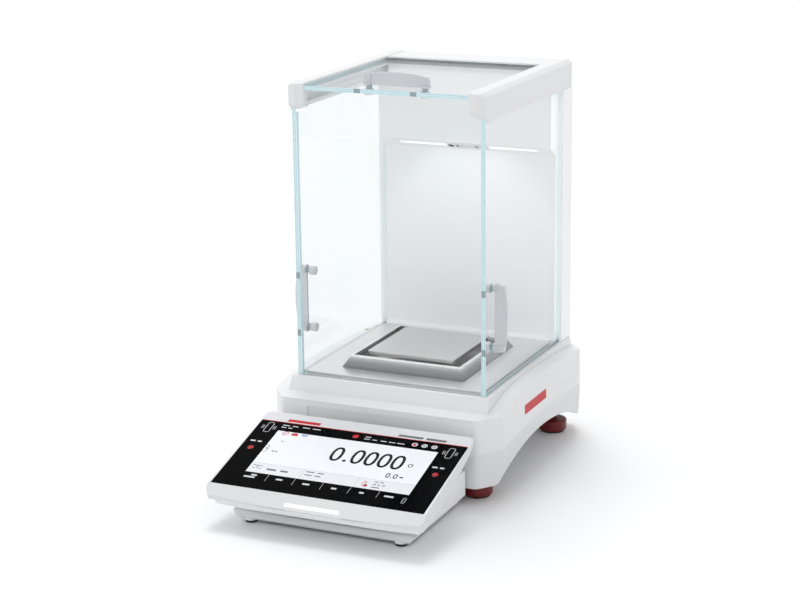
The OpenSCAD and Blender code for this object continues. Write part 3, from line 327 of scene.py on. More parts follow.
def pane_glass(name, node_name, face_axis, edge_colour, notch=None, knots=None):
    """Float glass: the two faces along face_axis let light straight through and mirror a little,
    the ground edges take the glass's own blue-green with a painted glow, and painted highlight and shade in
    lines along the pane.

    notch is the half width and top of a part whose edges stay clear,
    and knots the axis and places of the painted dark reflections of the knob bores in the edges."""
    g = Graph(name)
    low, high = (corner["XYZ".index(face_axis)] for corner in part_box(node_name))
    thickness = abs(low + high) / 2, (high - low) / 2
    normal = g.tree.nodes.new("ShaderNodeNewGeometry").outputs["Normal"]
    along = g.math("ABSOLUTE", g.axes(normal)[face_axis])
    is_face = g.math("GREATER_THAN", along, FACE_SQUARE)
    spot = g.axes(g.place)
    if notch:
        # The cut-outs beside the rail caps are polished and hardly show
        half, top = notch
        inside = g.math("LESS_THAN", g.math("ABSOLUTE", spot["X"]), half)
        below = g.math("LESS_THAN", spot["Z"], top)
        is_face = g.math("MAXIMUM", is_face, g.math("MULTIPLY", inside, below))
    clear = g.node("BsdfTransparent")
    haze = g.noise(14, 3)
    tint = g.shades(haze, (0.3, (CLARITY - 0.012, CLARITY, CLARITY)),
                    (0.7, (CLARITY, CLARITY + 0.006, CLARITY + 0.006)))
    g.tree.links.new(tint, clear.inputs["Color"])
    mirror = g.node("BsdfGlossy", Roughness=0.015)
    mirror.inputs["Color"].default_value = (1, 1, 1, 1)
    grazing = g.tree.nodes.new("ShaderNodeLayerWeight").outputs["Facing"]
    steep = g.math("POWER", grazing, GRAZING_POWER)
    share = g.math("ADD", g.math("MULTIPLY", steep, MIRROR_GRAZING), MIRROR_AHEAD)
    face = g.tree.nodes.new("ShaderNodeMixShader")
    g.tree.links.new(share, face.inputs[0])
    g.tree.links.new(clear.outputs[0], face.inputs[1])
    g.tree.links.new(mirror.outputs[0], face.inputs[2])
    streaks = g.noise(260, 3)
    if knots:
        # The edge beside each knob's bore is darkened, a painted reflection of the bore
        axis, places = knots
        for place in places:
            away = g.math("ABSOLUTE", g.math("SUBTRACT", spot[axis], place))
            near = g.node("MapRange", From_Min=KNOT_CORE, From_Max=KNOT_RIM, To_Min=1.0, To_Max=0.0)
            g.tree.links.new(away, near.inputs["Value"])
            streaks = g.math("SUBTRACT", streaks, near.outputs[0])
    tone = g.shades(streaks, (0.0, scaled(edge_colour, 0.48)), (0.2, scaled(edge_colour, 0.93)),
                    (0.7, scaled(edge_colour, 1.04)))
    # Painted highlight and shade: the edge keeps its full tone along its middle and rims and is darkened in
    # bands between
    middle, half = thickness
    from_middle = g.math("ABSOLUTE", g.math("SUBTRACT", g.math("ABSOLUTE", spot[face_axis]), middle))
    lines = g.shades(g.math("DIVIDE", from_middle, half), (0.10, (1.0, 1.0, 1.0)), (0.30, (0.90, 0.95, 0.96)),
                     (0.42, (0.62, 0.74, 0.78)), (0.58, (0.80, 0.90, 0.92)), (0.80, (1.0, 1.0, 1.0)))
    painted_highlight_mix = g.tree.nodes.new("ShaderNodeMix")
    painted_highlight_mix.data_type, painted_highlight_mix.blend_type = "RGBA", "MULTIPLY"
    painted_highlight_mix.inputs[0].default_value = 1.0
    g.tree.links.new(tone, painted_highlight_mix.inputs[6])
    g.tree.links.new(lines, painted_highlight_mix.inputs[7])
    tone = painted_highlight_mix.outputs[2]
    # Painted glow: the edge emits its own tone, though it is no lamp
    edge = g.node("BsdfPrincipled", Base_Color=tone, Roughness=0.22)
    g.tree.links.new(tone, edge.inputs["Emission Color"])
    edge.inputs["Emission Strength"].default_value = PAINTED_EDGE_GLOW
    whole = g.tree.nodes.new("ShaderNodeMixShader")
    g.tree.links.new(is_face, whole.inputs[0])
    g.tree.links.new(edge.outputs[0], whole.inputs[1])
    g.tree.links.new(face.outputs[0], whole.inputs[2])
    return g.surface(whole.outputs[0])


def lit_plastic(name, colour, strength, roughness=0.3):
    """Frosted light guide that glows."""
    g = Graph(name)
    cloud = g.noise(300, 2)
    base = g.shades(cloud, (0.3, scaled(colour, 0.94)), (0.7, colour))
    rough = g.ranged(cloud, roughness - 0.05, roughness + 0.05)
    made = g.node("BsdfPrincipled", Base_Color=base, Roughness=rough)
    g.tree.links.new(base, made.inputs["Emission Color"])
    made.inputs["Emission Strength"].default_value = strength
    return g.surface(made.outputs[0])


def printed(name, colour, strength=0.0, roughness=0.12, gloss=0.5):
    """Print or lit picture element seen through polished glass, with its fine dot pattern."""
    g = Graph(name)
    dots = g.node("TexVoronoi", Scale=5200, Vector=g.place).outputs["Distance"]
    base = g.shades(dots, (0.0, colour), (1.0, scaled(colour, 0.93)))
    rough = g.ranged(g.noise(40, 4), roughness - 0.04, roughness + 0.06)
    made = g.node("BsdfPrincipled", Base_Color=base, Roughness=rough, Specular_IOR_Level=gloss)
    if strength:
        g.tree.links.new(base, made.inputs["Emission Color"])
        made.inputs["Emission Strength"].default_value = strength
    return g.surface(made.outputs[0])


def circuit_board(name):
    """Solder mask over a faint copper pattern."""
    g = Graph(name)
    cells = g.node("TexBrick", Scale=260, Vector=g.place).outputs["Color"]
    lines = g.node("TexVoronoi", Scale=420, Vector=g.place).outputs["Distance"]
    base = g.shades(lines, (0.0, (0.05, 0.22, 0.10)), (0.25, (0.02, 0.14, 0.06)))
    return g.principled(Base_Color=base, Roughness=0.35, Normal=g.bump(cells, 0.2, 0.00005))


def floor_paper(name):
    g = Graph(name)
    grain = g.noise(900, 2)
    base = g.shades(grain, (0.3, (0.855, 0.855, 0.86)), (0.7, (0.875, 0.875, 0.875)))
    return g.principled(Base_Color=base, Roughness=0.55, Specular_IOR_Level=0.3)


WHITE = moulded_plastic("white_shell", (0.78, 0.782, 0.79), 0.36)
PLINTH_WHITE = moulded_plastic("plinth_shell", (0.79, 0.793, 0.80), 0.33)
# The side covers get painted light on their inner faces, lifting the shade in the slit beside the doors
cover_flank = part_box("column_side_cover_right")[0].x
COVER_WHITE = moulded_plastic("cover_shell", (0.93, 0.933, 0.936), 0.38, flank=cover_flank)
GREY = moulded_plastic("grey_shell", (0.72, 0.723, 0.73), 0.40)
TERMINAL_WHITE = moulded_plastic("terminal_shell", (0.72, 0.722, 0.73), 0.34)
# Grey of the head's under-shell and stand, partly their own colour and partly painted light: lifted above the
# bezel's to offset the shade under the head
TERMINAL_GREY_PAINTED_LIGHT = moulded_plastic("terminal_under_shell", (0.84, 0.842, 0.85), 0.38)
# The front panel gets painted light on its flanks, lifting the shade in the slit beside the doors
panel_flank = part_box("column_front_panel")[1].x
COLUMN = painted_metal("column_paint", (0.93, 0.932, 0.937), 0.45, panel_flank)
RAIL = painted_metal("rail_paint", (0.77, 0.773, 0.778), 0.36)
CAP = painted_metal("cap_lacquer", (0.75, 0.753, 0.762), 0.30)
HANDLE = moulded_plastic("handle_plastic", (0.64, 0.645, 0.662), 0.32, 0.06)
RED = moulded_plastic("foot_red", (0.15, 0.003, 0.005), 0.30, 0.06)
BLACK_PART = moulded_plastic("socket_black", (0.03, 0.03, 0.034), 0.45)
MOTOR = moulded_plastic("motor_case", (0.07, 0.07, 0.08), 0.5)
RUBBER = rubber("rubber_black", (0.018, 0.018, 0.02))
BRUSHED = brushed_steel("brushed_plate", (0.80, 0.80, 0.80), 0.30, (18, 1500, 1500))
PAN_STEEL = brushed_steel("pan_plate", (0.68, 0.67, 0.66), 0.30, (1500, 14, 1500), 0.03, 0.08)
# The wind ring's reflection is painted into its colour
POLISHED_PAINTED_REFLECTION = steel_with_painted_reflection("polished_ring_painted_reflection", "wind_ring")
ALUMINIUM = bare_metal("machined_aluminium", (0.62, 0.63, 0.65), 0.34)
HUB = bare_metal("blasted_alloy", (0.30, 0.30, 0.32), 0.5, 1600)
MAGNET = bare_metal("magnet_steel", (0.20, 0.21, 0.23), 0.4)
CHROME = bare_metal("polished_weight", (0.72, 0.72, 0.74), 0.16, 300)
ZINC = bare_metal("zinc_screw", (0.50, 0.50, 0.52), 0.36)
BRASS = bare_metal("brass", (0.70, 0.48, 0.18), 0.3)
BOARD = circuit_board("solder_mask")
LENS = lit_plastic("lamp_lens", (0.97, 0.985, 1.0), 0.4)
BAR_LIGHT = lit_plastic("status_bar", (0.96, 0.955, 1.0), 0.35)
TOUCH = printed("touch_black", (0.0015, 0.0015, 0.0018), 0.0, 0.10, 0.02)
PANEL = printed("lcd_back", (0.35, 0.37, 0.38), 0.0, 0.4)
VIAL = lit_plastic("vial_green", (0.45, 0.62, 0.12), 0.05, 0.15)
EDGE_TINT = (0.61, 0.765, 0.795)
KNOB_RADIUS = 0.0043


def knob_places(node_name, axis):
    """Where the two knobs of a door sit along an axis."""
    low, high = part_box(node_name)
    return low[axis] + KNOB_RADIUS, high[axis] - KNOB_RADIUS


SIDE_GLASS = pane_glass("side_glass", "right_door_glass", "X", EDGE_TINT,
                        knots=("Z", knob_places("right_door_knobs", 2)))
front_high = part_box("front_glass")[1]
FRONT_GLASS = pane_glass("front_glass", "front_glass", "Y", EDGE_TINT,
                         notch=(front_high.x - MM, front_high.z - MM))
TOP_GLASS = pane_glass("top_glass", "top_door_glass", "Z", EDGE_TINT,
                       knots=("X", knob_places("top_door_knobs", 0)))

FINISH = {
    "upper_housing": WHITE, "plinth_frame": PLINTH_WHITE, "lower_housing": GREY,
    "column_rear_cover": COVER_WHITE, "column_side_cover_left": COVER_WHITE,
    "column_side_cover_right": COVER_WHITE,
    "column_top_cover": WHITE, "ionizer_module": WHITE, "column_front_panel": COLUMN,
    "rail_left": RAIL, "rail_right": RAIL, "rail_cap_left": CAP, "rail_cap_right": CAP,
    "front_glass": FRONT_GLASS, "left_door_glass": SIDE_GLASS, "right_door_glass": SIDE_GLASS,
    "top_door_glass": TOP_GLASS, "floor_plate": BRUSHED, "weighing_pan": PAN_STEEL,
    "wind_ring": POLISHED_PAINTED_REFLECTION, "weigh_cell": ALUMINIUM, "load_receiver": ALUMINIUM, "pan_hub": HUB,
    "force_coil": MAGNET, "cal_weight": CHROME, "cal_spindle": BRASS, "cal_motor": MOTOR,
    "main_board": BOARD, "light_board": BOARD, "terminal_board": BOARD, "rear_ports": BLACK_PART,
    "power_inlet": BLACK_PART, "level_vial": VIAL, "light_lens": LENS, "light_bar": BAR_LIGHT,
    "base_screws": ZINC, "column_screws": ZINC, "terminal_screws": ZINC, "hinge_pins": ZINC,
    "foot_inserts": BRASS, "terminal_feet": RUBBER, "terminal_bezel": TERMINAL_WHITE,
    "terminal_lower_shell": TERMINAL_GREY_PAINTED_LIGHT, "terminal_stand": TERMINAL_GREY_PAINTED_LIGHT,
    "touch_glass": TOUCH, "lcd_module": PANEL,
}
for door in ("left", "right", "top"):
    FINISH[f"{door}_door_handle"] = HANDLE
    FINISH[f"{door}_door_knobs"] = HANDLE
for end in ("front", "rear"):
    for side in ("left", "right"):
        FINISH[f"foot_wheel_{end}_{side}"] = RED
        FINISH[f"foot_pad_{end}_{side}"] = RUBBER

# Edges sharper than this many degrees are rounded; faceted pieces keep their lower facets crisp
USUAL_SOFT_ANGLE = 30
SOFT_ANGLE = {"rail_cap_left": 6, "rail_cap_right": 6, "weighing_pan": 12, "terminal_bezel": 14}
FACETED_SHADE_ANGLE = 26
BEVEL_EARLIER = 2
WELD_REACH = 0.00001

# Rounding of each node's edges in millimetres, where it isn't the usual one. Glass stays square.
USUAL_EDGE_MM = 0.25
EDGE_MM = {
    "upper_housing": 1.4, "lower_housing": 0.9, "plinth_frame": 0.8, "terminal_bezel": 0.9,
    "terminal_lower_shell": 0.8, "terminal_stand": 0.8, "rail_cap_left": 0.45, "rail_cap_right": 0.45,
    "rail_left": 0.35, "rail_right": 0.35, "weighing_pan": 0.4, "wind_ring": 0.35,
    "column_front_panel": 0.9, "light_bar": 0.2, "front_glass": 0, "left_door_glass": 0,
    "right_door_glass": 0, "top_door_glass": 0, "left_door_handle": 0.4, "right_door_handle": 0.4,
    "top_door_handle": 0.4, "column_side_cover_left": 0.6, "column_side_cover_right": 0.6,
}


def smooth_group(limit):
    """Geometry nodes that shade smooth except over edges sharper than limit degrees."""
    group = bpy.data.node_groups.new(f"smooth_under_{limit}", "GeometryNodeTree")
    group.interface.new_socket("Geometry", in_out="INPUT", socket_type="NodeSocketGeometry")
    group.interface.new_socket("Geometry", in_out="OUTPUT", socket_type="NodeSocketGeometry")
    start = group.nodes.new("NodeGroupInput")
    end = group.nodes.new("NodeGroupOutput")
    faces = group.nodes.new("GeometryNodeSetShadeSmooth")
    edges = group.nodes.new("GeometryNodeSetShadeSmooth")
    edges.domain = "EDGE"
    angle = group.nodes.new("GeometryNodeInputMeshEdgeAngle")
    soft = group.nodes.new("ShaderNodeMath")
    soft.operation = "LESS_THAN"
    soft.inputs[1].default_value = math.radians(limit)
    group.links.new(start.outputs[0], faces.inputs[0])
    group.links.new(faces.outputs[0], edges.inputs[0])
    group.links.new(angle.outputs[0], soft.inputs[0])
    group.links.new(soft.outputs[0], edges.inputs["Shade Smooth"])
    group.links.new(edges.outputs[0], end.inputs[0])
    return group


SMOOTH = {limit: smooth_group(limit) for limit in (FACETED_SHADE_ANGLE, USUAL_SOFT_ANGLE)}


def shade_smoothly(thing, limit=USUAL_SOFT_ANGLE):
    thing.modifiers.new("smooth", "NODES").node_group = SMOOTH[limit]


def dress_node(name, node):
    """Gives a CAD node its finish and small rounded edges that catch the light."""
    node.data.materials.clear()
    node.data.materials.append(FINISH[name])
    width = EDGE_MM.get(name, USUAL_EDGE_MM)
    if not width:
        return
    weld = node.modifiers.new("weld", "WELD")
    weld.merge_threshold = WELD_REACH
    bevel = node.modifiers.new("edge", "BEVEL")
    bevel.width = width * MM
    bevel.segments = 3
    bevel.limit_method = "ANGLE"
    limit = SOFT_ANGLE.get(name, USUAL_SOFT_ANGLE)
    bevel.angle_limit = math.radians(limit - BEVEL_EARLIER)
    bevel.use_clamp_overlap = True
    shade_smoothly(node, FACETED_SHADE_ANGLE if name in SOFT_ANGLE else limit)
    even = node.modifiers.new("even", "WEIGHTED_NORMAL")
    even.keep_sharp = True


# ---------------------------------------------------------------- added pieces


def piece(name, mesh, material, body, place=None):
    """A piece of the object that rides on a CAD body and takes a slot's finish."""
    mesh.materials.append(material)
    made = bpy.data.objects.new(name, mesh)
    bpy.context.scene.collection.objects.link(made)
    if place is not None:
        made.matrix_world = place
    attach(made, body)
    return made


def build(name, steps):
    """A mesh from a list of functions that each add a shape to a bmesh."""
    shape = bmesh.new()
    for step in steps:
        step(shape)
    mesh = bpy.data.meshes.new(name)
    shape.to_mesh(mesh)
    shape.free()
    return mesh


def block(x0, y0, z0, x1, y1, z1):
    """A step that adds a box between two corners, in millimetres."""
    def add(shape):
        size = Vector((x1 - x0, y1 - y0, z1 - z0)) * MM
        middle = Vector((x0 + x1, y0 + y1, z0 + z1)) * MM / 2
        bmesh.ops.create_cube(shape, size=1, matrix=Matrix.Translation(middle) @ Matrix.Diagonal((*size, 1)))
    return add


def disc(x, y, z, radius, height, sides, turn):
    """A step that adds a cylinder with its foot at x, y, z, turned about it, in millimetres."""
    def add(shape):
        move = Matrix.Translation(Vector((x, y, z)) * MM)
        lift = Matrix.Translation((0, 0, height * MM / 2))
        bmesh.ops.create_cone(shape, cap_ends=True, segments=sides, radius1=radius * MM, radius2=radius * MM,
                              depth=height * MM, matrix=move @ turn @ lift)
    return add


def sheet_of(points, z, thickness=0.02):
    """A step that adds a thin plate with the outline points, its top at z, in millimetres."""
    def add(shape):
        top = [shape.verts.new((px * MM, py * MM, z * MM)) for px, py in points]
        low = [shape.verts.new((px * MM, py * MM, (z - thickness) * MM)) for px, py in points]
        shape.faces.new(top)
        shape.faces.new(low[::-1])
        for k in range(len(points)):
            n = (k + 1) % len(points)
            shape.faces.new((top[k], low[k], low[n], top[n]))
    return add


def rect(x0, y0, x1, y1):
    return [(x0, y0), (x1, y0), (x1, y1), (x0, y1)]


def ring_points(x, y, rx, ry, sides=28):
    return [(x + rx * math.cos(2 * math.pi * k / sides), y + ry * math.sin(2 * math.pi * k / sides))
            for k in range(sides)]


def stroke(points, width, z, closed=True):
    """A step that adds a line of that width along points, as thin plates."""
    def add(shape):
        ends = points + points[:1] if closed else points
        for (ax, ay), (bx, by) in zip(ends, ends[1:]):
            dx, dy = bx - ax, by - ay
            size = math.hypot(dx, dy) or 1
            px, py = -dy / size * width / 2, dx / size * width / 2
            ex, ey = dx / size * width / 3, dy / size * width / 3
            sheet_of([(ax + px - ex, ay + py - ey), (ax - px - ex, ay - py - ey),
                      (bx - px + ex, by - py + ey), (bx + px + ex, by + py + ey)], z)(shape)
    return add


# The terminal head's own frame: x across, y rearwards along the glass, z out of the glass
HEAD_TILT = math.radians(15.57)
TOUCH_T = 0.0018
touch_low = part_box("touch_glass")[0]
HEAD = Matrix.Translation((0, touch_low.y, touch_low.z + TOUCH_T * math.cos(HEAD_TILT))) \
    @ Matrix.Rotation(HEAD_TILT, 4, "X")


def on_head(name, steps, material):
    return piece(name, build(name, steps), material, "terminal_head", HEAD)


SCREEN_WHITE = printed("screen_white", (0.80, 0.815, 0.84), 0.10)
SCREEN_STRIP = printed("screen_strip", (0.72, 0.735, 0.76), 0.10)
SCREEN_LINE = printed("screen_line", (0.40, 0.41, 0.43), 0.03)
INK_BLACK = printed("ink_black", (0.008, 0.008, 0.009))
INK_WHITE = printed("ink_white", (0.62, 0.62, 0.64), 0.08)
INK_GREY = printed("ink_grey", (0.16, 0.16, 0.17))
INK_RED = printed("ink_red", (0.52, 0.006, 0.012), 0.06, 0.2, 0.25)
PAINT_RED = printed("paint_red", (0.55, 0.006, 0.012), 0.0, 0.35, 0.3)
INK_BLUE = printed("ink_blue", (0.05, 0.22, 0.62), 0.05)
SENSOR_RED = printed("sensor_red", (0.30, 0.003, 0.006), 0.06)
BAND_SILVER = painted_metal("band_silver", (0.66, 0.67, 0.69), 0.32)

# The lit area and the top of its lower strip in the head's frame, and the heights of areas, of marks
# and of marks on marks, all in millimetres
LIT = (-78.5, 22.7, 78.5, 88.3)
STRIP_TOP = 37.3
AREA_Z, MARK_Z, UPPER_MARK_Z = 0.03, 0.06, 0.09
NOUGHT_ROUNDNESS = 0.84


def bars(x, y, length, words, size=1.5, z=MARK_Z, seed=3):
    """Steps for a row of short bars that stands for a line of print."""
    steps, at, k = [], x, seed
    for _ in range(words):
        k = (k * 7 + 5) % 11
        word = length / words * (0.55 + 0.035 * k)
        steps.append(sheet_of(rect(at, y - size / 2, at + word, y + size / 2), z))
        at += length / words
    return steps


def digit_outline(x, y, width, height, sides=40):
    """Centre line of an oval nought."""
    points = []
    for k in range(sides):
        turn = 2 * math.pi * k / sides
        px, py = math.cos(turn), math.sin(turn)
        px = math.copysign(abs(px) ** NOUGHT_ROUNDNESS, px) * width / 2
        py = math.copysign(abs(py) ** NOUGHT_ROUNDNESS, py) * height / 2
        points.append((x + px, y + py))
    return points


def make_screen():
    x0, y0, x1, y1 = LIT
    on_head("screen_area", [sheet_of(rect(x0, STRIP_TOP, x1, y1), AREA_Z)], SCREEN_WHITE)
    on_head("screen_strip", [sheet_of(rect(x0, y0, x1, STRIP_TOP - 0.3), AREA_Z)], SCREEN_STRIP)
    lines = [sheet_of(rect(x0, STRIP_TOP - 0.3, x1, STRIP_TOP), AREA_Z)]
    lines += [sheet_of(rect(x, y0 + 0.5, x + 0.3, STRIP_TOP - 0.8), MARK_Z) for x in (-27, 26)]
    on_head("screen_lines", lines, SCREEN_LINE)
    # The reading 0.0000 and the small one under it
    noughts = []
    for x in (-8.7, 11.5, 24.3, 37.1, 49.9):
        noughts.append(stroke(digit_outline(x, 65.6, 8.6, 18.4), 2.7, MARK_Z))
    noughts.append(sheet_of(ring_points(1.4, 57.4, 1.8, 1.8, 16), MARK_Z))
    for x in (49.0, 56.0):
        noughts.append(stroke(digit_outline(x, 45.4, 2.9, 5.8, 24), 1.0, MARK_Z))
    noughts.append(sheet_of(ring_points(52.6, 42.9, 0.6, 0.6, 10), MARK_Z))
    noughts.append(stroke(ring_points(62.6, 63.6, 1.9, 2.2, 20), 0.8, MARK_Z))
    noughts += bars(60, 45, 5, 1, 1.6)
    on_head("screen_digits", noughts, INK_BLACK)
    # Rows of print in the lower strip
    prints = bars(-61, 29.6, 27, 2, 2.4) + bars(-24, 34.2, 22, 2, 1.4) + bars(-24, 29.6, 20, 2, 1.4)
    prints += bars(41.5, 34, 11, 2, 1.3) + bars(41.5, 30, 13, 3, 1.3) + bars(41.5, 26, 11, 1, 1.3)
    prints += [sheet_of(rect(-68, 72.3, -65.6, 73.3), MARK_Z)] + bars(-69.5, 56.8, 7, 2, 1.6)
    prints += [sheet_of(rect(-76, 33, -66, 33.8), MARK_Z), sheet_of(rect(-71.4, 29.5, -70.6, 33.2), MARK_Z),
               sheet_of(rect(-75.4, 29, -72.6, 29.8), MARK_Z), sheet_of(rect(-69.4, 29, -66.6, 29.8), MARK_Z)]
    prints += [stroke([(-78.2, 65), (-75, 64), (-74.4, 55.6), (-78.2, 54.6)], 0.6, MARK_Z, False)]
    prints += [sheet_of([(-77.6, 60), (-75.8, 61.4), (-75.8, 58.6)], MARK_Z)]
    on_head("screen_print", prints, INK_GREY)
    # Signs in the header
    red = [stroke(ring_points(-69.6, 85.3, 2.9, 2.5), 0.6, MARK_Z),
           sheet_of(rect(-70, 84, -69.2, 86.8), MARK_Z),
           sheet_of(rect(-63.6, 83.4, -57.2, 86.4), MARK_Z), sheet_of(rect(-62.4, 86.6, -58.4, 87.6), MARK_Z),
           sheet_of(ring_points(-4.2, 95.2, 2.9, 2.7), MARK_Z),
           sheet_of(rect(52.2, 93.4, 54.8, 96.2), UPPER_MARK_Z)]
    red += [stroke(ring_points(33.5, 29.6, 1.5, 3.6, 18), 0.6, MARK_Z),
            sheet_of(ring_points(35.6, 27, 1.8, 1.8, 14), MARK_Z)]
    on_head("screen_red", red, INK_RED)
    blue = [sheet_of(ring_points(-50.4 + 2.2 * k, 85.6 + 0.8 * (k % 2), 0.9, 0.9, 12), MARK_Z)
            for k in (-1, 0, 1)]
    blue.append(stroke(ring_points(-50.4, 85.6, 2.2, 1.7, 18), 0.5, MARK_Z))
    on_head("screen_blue", blue, INK_BLUE)
    white = [sheet_of(ring_points(x, 94.9, 2.9, 2.7), MARK_Z) for x in (53.5, 62.8, 72.2)]
    white += bars(-78, 97.4, 40, 4, 1.2) + bars(-78, 94, 14, 2, 1.2)
    white += bars(5, 96.6, 8, 1, 1.1) + bars(5, 93.4, 40, 5, 1.1)
    for x, y, span in ((-66.3, 18.9, 9), (-68, 15.6, 17), (-40.7, 17.3, 10), (-14.2, 16.5, 11),
                       (12.1, 16.3, 8), (38.3, 16.1, 7), (65.1, 16.4, 14)):
        white += bars(x - span / 2, y, span, 1, 2.2, MARK_Z, 9)
    for x in (-54.7, -28.6, -1.5, 24.8, 52.0):
        white.append(sheet_of(rect(x - 0.15, 12.5, x + 0.15, 21.5), MARK_Z))
    for x, y in ((-89.6, 91.5), (89.4, 89.2)):
        white.append(stroke(rounded_box(x, y, 5.6, 15, 1.8), 0.55, MARK_Z))
        for side in (-1, 1):
            for far in (4.6, 6.2):
                arc = [(x + side * (far + 0.5 * math.cos(t / 3)), y + t) for t in (-2.4, -0.8, 0.8, 2.4)]
                white.append(stroke(arc, 0.5, MARK_Z, False))
    white += bars(-96.6, 68.4, 14.5, 2, 2.0) + bars(82, 66.2, 14.5, 2, 2.0)
    white.append(stroke(rounded_box(77.4, 14, 2.6, 7.4, 1), 0.45, MARK_Z))
    on_head("screen_white_print", white, INK_WHITE)
    on_head("screen_button_marks", [sheet_of(rect(60.9, 94.4, 64.7, 95.4), UPPER_MARK_Z),
                                    stroke(ring_points(72.2, 94.9, 1.1, 1.1, 12), 0.5, UPPER_MARK_Z)],
            INK_GREY)
    on_head("sensor_windows", [sheet_of(ring_points(x, y, 3.0, 3.0), MARK_Z)
                               for x, y in ((-91.4, 58), (88.9, 56))], SENSOR_RED)
    on_head("sensor_cores", [sheet_of(ring_points(x, y, 1.3, 1.3), UPPER_MARK_Z)
                             for x, y in ((-91.4, 58), (88.9, 56))], INK_RED)


def rounded_box(x, y, width, height, radius, steps=4):
    points = []
    for cx, cy, start in ((1, 1, 0), (-1, 1, 90), (-1, -1, 180), (1, -1, 270)):
        for k in range(steps + 1):
            turn = math.radians(start + 90 * k / steps)
            points.append((x + cx * (width / 2 - radius) + radius * math.cos(turn),
                           y + cy * (height / 2 - radius) + radius * math.sin(turn)))
    return points


def make_band():
    """Silver band behind the touch glass, with the red line along the glass's rear edge."""
    on_head("band_plate", [sheet_of(rounded_box(0, 109.2, 205.2, 13.2, 4.5), 0.04, 0.1)], BAND_SILVER)
    on_head("band_red_line", [sheet_of(rect(-101.4, 101.55, 101.4, 102.25), 0.06, 0.1)], INK_RED)
    on_head("band_red_mark", [sheet_of([(-77, 103.6), (-44.5, 103.6), (-43.5, 107.6), (-76, 107.6)], 0.08)],
            INK_RED)
    on_head("band_grey_marks", [sheet_of([(33, 103.9), (57, 103.9), (57.8, 107), (33.8, 107)], 0.08),
                                sheet_of([(60, 103.9), (79, 103.9), (79.8, 107), (60.8, 107)], 0.08)],
            INK_GREY)


def make_sockets():
    """Tongues and contacts in the rear sockets, and the pin of the power inlet."""
    low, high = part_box("rear_ports")
    middle = (low.x + high.x) / 2 / MM
    face = high.y / MM
    z0 = low.z / MM
    gold, tongues = [], []
    for x in (middle - 38, middle - 21):
        tongues.append(block(x + 1.6, face - 10.9, z0 + 7.2, x + 12, face - 1.2, z0 + 8.8))
        gold += [block(x + 2.6 + 2.4 * k, face - 9.5, z0 + 6.9, x + 3.7 + 2.4 * k, face - 2, z0 + 7.3)
                 for k in range(4)]
    gold += [block(middle + 2.2 + 1.15 * k, face - 11, z0 + 2, middle + 2.8 + 1.15 * k, face - 4, z0 + 2.6)
             for k in range(8)]
    out = Matrix.Rotation(math.radians(-90), 4, "X")
    for row, count, z in ((0, 5, z0 + 9), (1, 4, z0 + 6)):
        gold += [disc(middle + 23 + 1.4 * row + 2.8 * k, face - 6, z, 0.6, 5, 10, out) for k in range(count)]
    piece("socket_tongues", build("socket_tongues", tongues), BLACK_PART, "base")
    piece("socket_contacts", build("socket_contacts", gold), BRASS, "base")
    low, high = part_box("power_inlet")
    x, z = (low.x + high.x) / 2 / MM, (low.z + high.z) / 2 / MM
    pin = [disc(x, high.y / MM - 11, z, 1.0, 9.5, 20, out)]
    shade_smoothly(piece("inlet_pin", build("inlet_pin", pin), ALUMINIUM, "base"))


def make_rear_label():
    """Blank rating plate, and black blocks as painted shade in the cross recesses of the rear cover's screws.
    """
    low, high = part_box("column_rear_cover")
    face = high.y / MM
    x0, z0 = -30, low.z / MM + 62
    piece("rating_plate", build("rating_plate", [block(x0, face, z0, x0 + 60, face + 0.15, z0 + 34)]),
          BAND_SILVER, "base")
    rows = [block(x0 + 4, face + 0.1, z0 + 5 + 5 * k, x0 + 30 + 9 * (k % 3), face + 0.2, z0 + 6.5 + 5 * k)
            for k in range(5)]
    piece("rating_plate_lines", build("rating_plate_lines", rows), INK_GREY, "base")
    slow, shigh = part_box("column_screws")
    # Painted shade: black blocks in the screws' cross recesses
    crosses = []
    for x in (slow.x / MM + 3, shigh.x / MM - 3):
        for z in (slow.z / MM + 3, shigh.z / MM - 3):
            y = shigh.y / MM
            crosses += [block(x - 1.7, y - 0.6, z - 0.35, x + 1.7, y + 0.03, z + 0.35),
                        block(x - 0.35, y - 0.6, z - 1.7, x + 0.35, y + 0.03, z + 1.7)]
    piece("screw_cross_shade", build("screw_cross_shade", crosses), BLACK_PART, "base")


def make_level():
    """Bubble and target ring of the spirit level."""
    low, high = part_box("level_vial")
    x, y = (low.x + high.x) / 2 / MM, (low.y + high.y) / 2 / MM
    top = high.z / MM
    piece("level_ring", build("level_ring", [stroke(ring_points(x, y, 1.7, 1.7, 24), 0.25, top + 0.03)]),
          INK_BLACK, "base")
    piece("level_bubble", build("level_bubble", [sheet_of(ring_points(x, y, 1.1, 1.1, 20), top + 0.03)]),
          LENS, "base")
    piece("level_collar", build("level_collar", [stroke(ring_points(x, y, 3.9, 3.9, 40), 0.6, top + 0.05)]),
          BLACK_PART, "base")


# The lamp face's rise and run, and how far the antistatic head sits off the middle, in millimetres
LAMP_FACE_RISE_RUN = 9.3, 14
HEAD_OFFSET_MM = 1


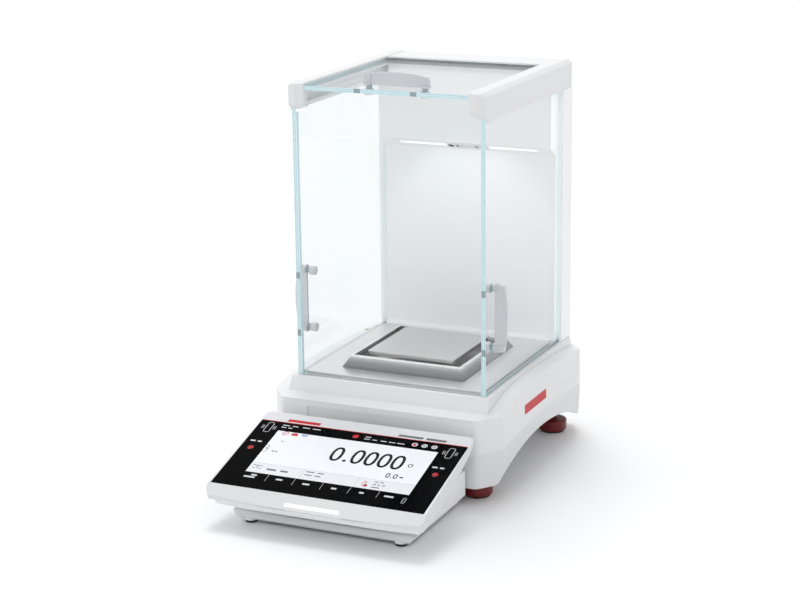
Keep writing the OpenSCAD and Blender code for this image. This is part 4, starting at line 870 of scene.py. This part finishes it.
def make_lamp_face():
    """Nozzle tips of the antistatic head in the sloped lamp face, and grey sheets as painted shade in its
    slots.
    """
    low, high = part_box("light_lens")
    slope = math.atan2(*LAMP_FACE_RISE_RUN)
    face = Matrix.Translation((HEAD_OFFSET_MM * MM, (low.y + high.y) / 2, (low.z + high.z) / 2)) \
        @ Matrix.Rotation(math.pi - slope, 4, "X")
    nozzles = [stroke(ring_points(s * 17, 0, 2.3, 2.3, 24), 1.1, 1.9) for s in (-1, 1)]
    nozzles += [sheet_of(ring_points(s * 17, 0, 1.9, 1.9, 20), 1.7) for s in (-1, 1)]
    # Painted shade: grey sheets where the slots open into the face
    slots = [sheet_of(rect(x, -2.6, x + 2.9, 2.6), 1.8) for x in (-11.5, 8.6)]
    for name, steps, material in (("ionizer_nozzles", nozzles, BLACK_PART),
                                  ("ionizer_slot_shade", slots, INK_GREY)):
        piece(name, build(name, steps), material, "base", face)


# The upper housing's leaning flank: where it starts and ends, how far it leans in,
# and the stripe's front lower corner
FLANK_FOOT_MM, FLANK_TOP_MM, FLANK_LEAN_MM = 55.6, 92.8, 3
FLANK_OVERRUN_MM = 2
STRIPE_Y_MM, STRIPE_Z_MM = 17, 65


def make_side_mark():
    """Plain red stripe on the right flank of the upper housing, in place of the printed name."""
    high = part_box("upper_housing")[1]
    lean = math.atan2(FLANK_LEAN_MM, high.z / MM + FLANK_OVERRUN_MM - FLANK_FOOT_MM)
    x = high.x / MM - FLANK_LEAN_MM * (STRIPE_Z_MM - FLANK_FOOT_MM) / (FLANK_TOP_MM - FLANK_FOOT_MM)
    place = Matrix.Translation((x * MM, STRIPE_Y_MM * MM, STRIPE_Z_MM * MM)) \
        @ Matrix.Rotation(math.radians(90), 4, "Z") @ Matrix.Rotation(math.radians(90) - lean, 4, "X")
    marks = [sheet_of([(0, 0), (56, 0), (57, 8.6), (1, 8.6)], 0.06, 0.3)]
    piece("side_mark", build("side_mark", marks), PAINT_RED, "base", place)


for name, node in NODES.items():
    dress_node(name, node)

make_screen()
make_band()
make_sockets()
make_rear_label()
make_level()
make_lamp_face()
make_side_mark()

make_camera()
make_world()
make_floor(floor_paper("floor_paper"))
soft_sun("key", KEY_PLACE, KEY_STRENGTH, KEY_SPREAD)
lens_low, lens_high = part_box("light_lens")
spot_light("chamber_lamp", (0, lens_low.y - LAMP_FORWARD, lens_low.z + LAMP_UP),
           (0, lens_high.y + LAMP_AIM_BACK, lens_low.z - LAMP_AIM_DOWN), LAMP_WATTS, LAMP_CONE, LAMP_SOFTNESS)
bpy.context.scene.view_settings.view_transform = "Standard"
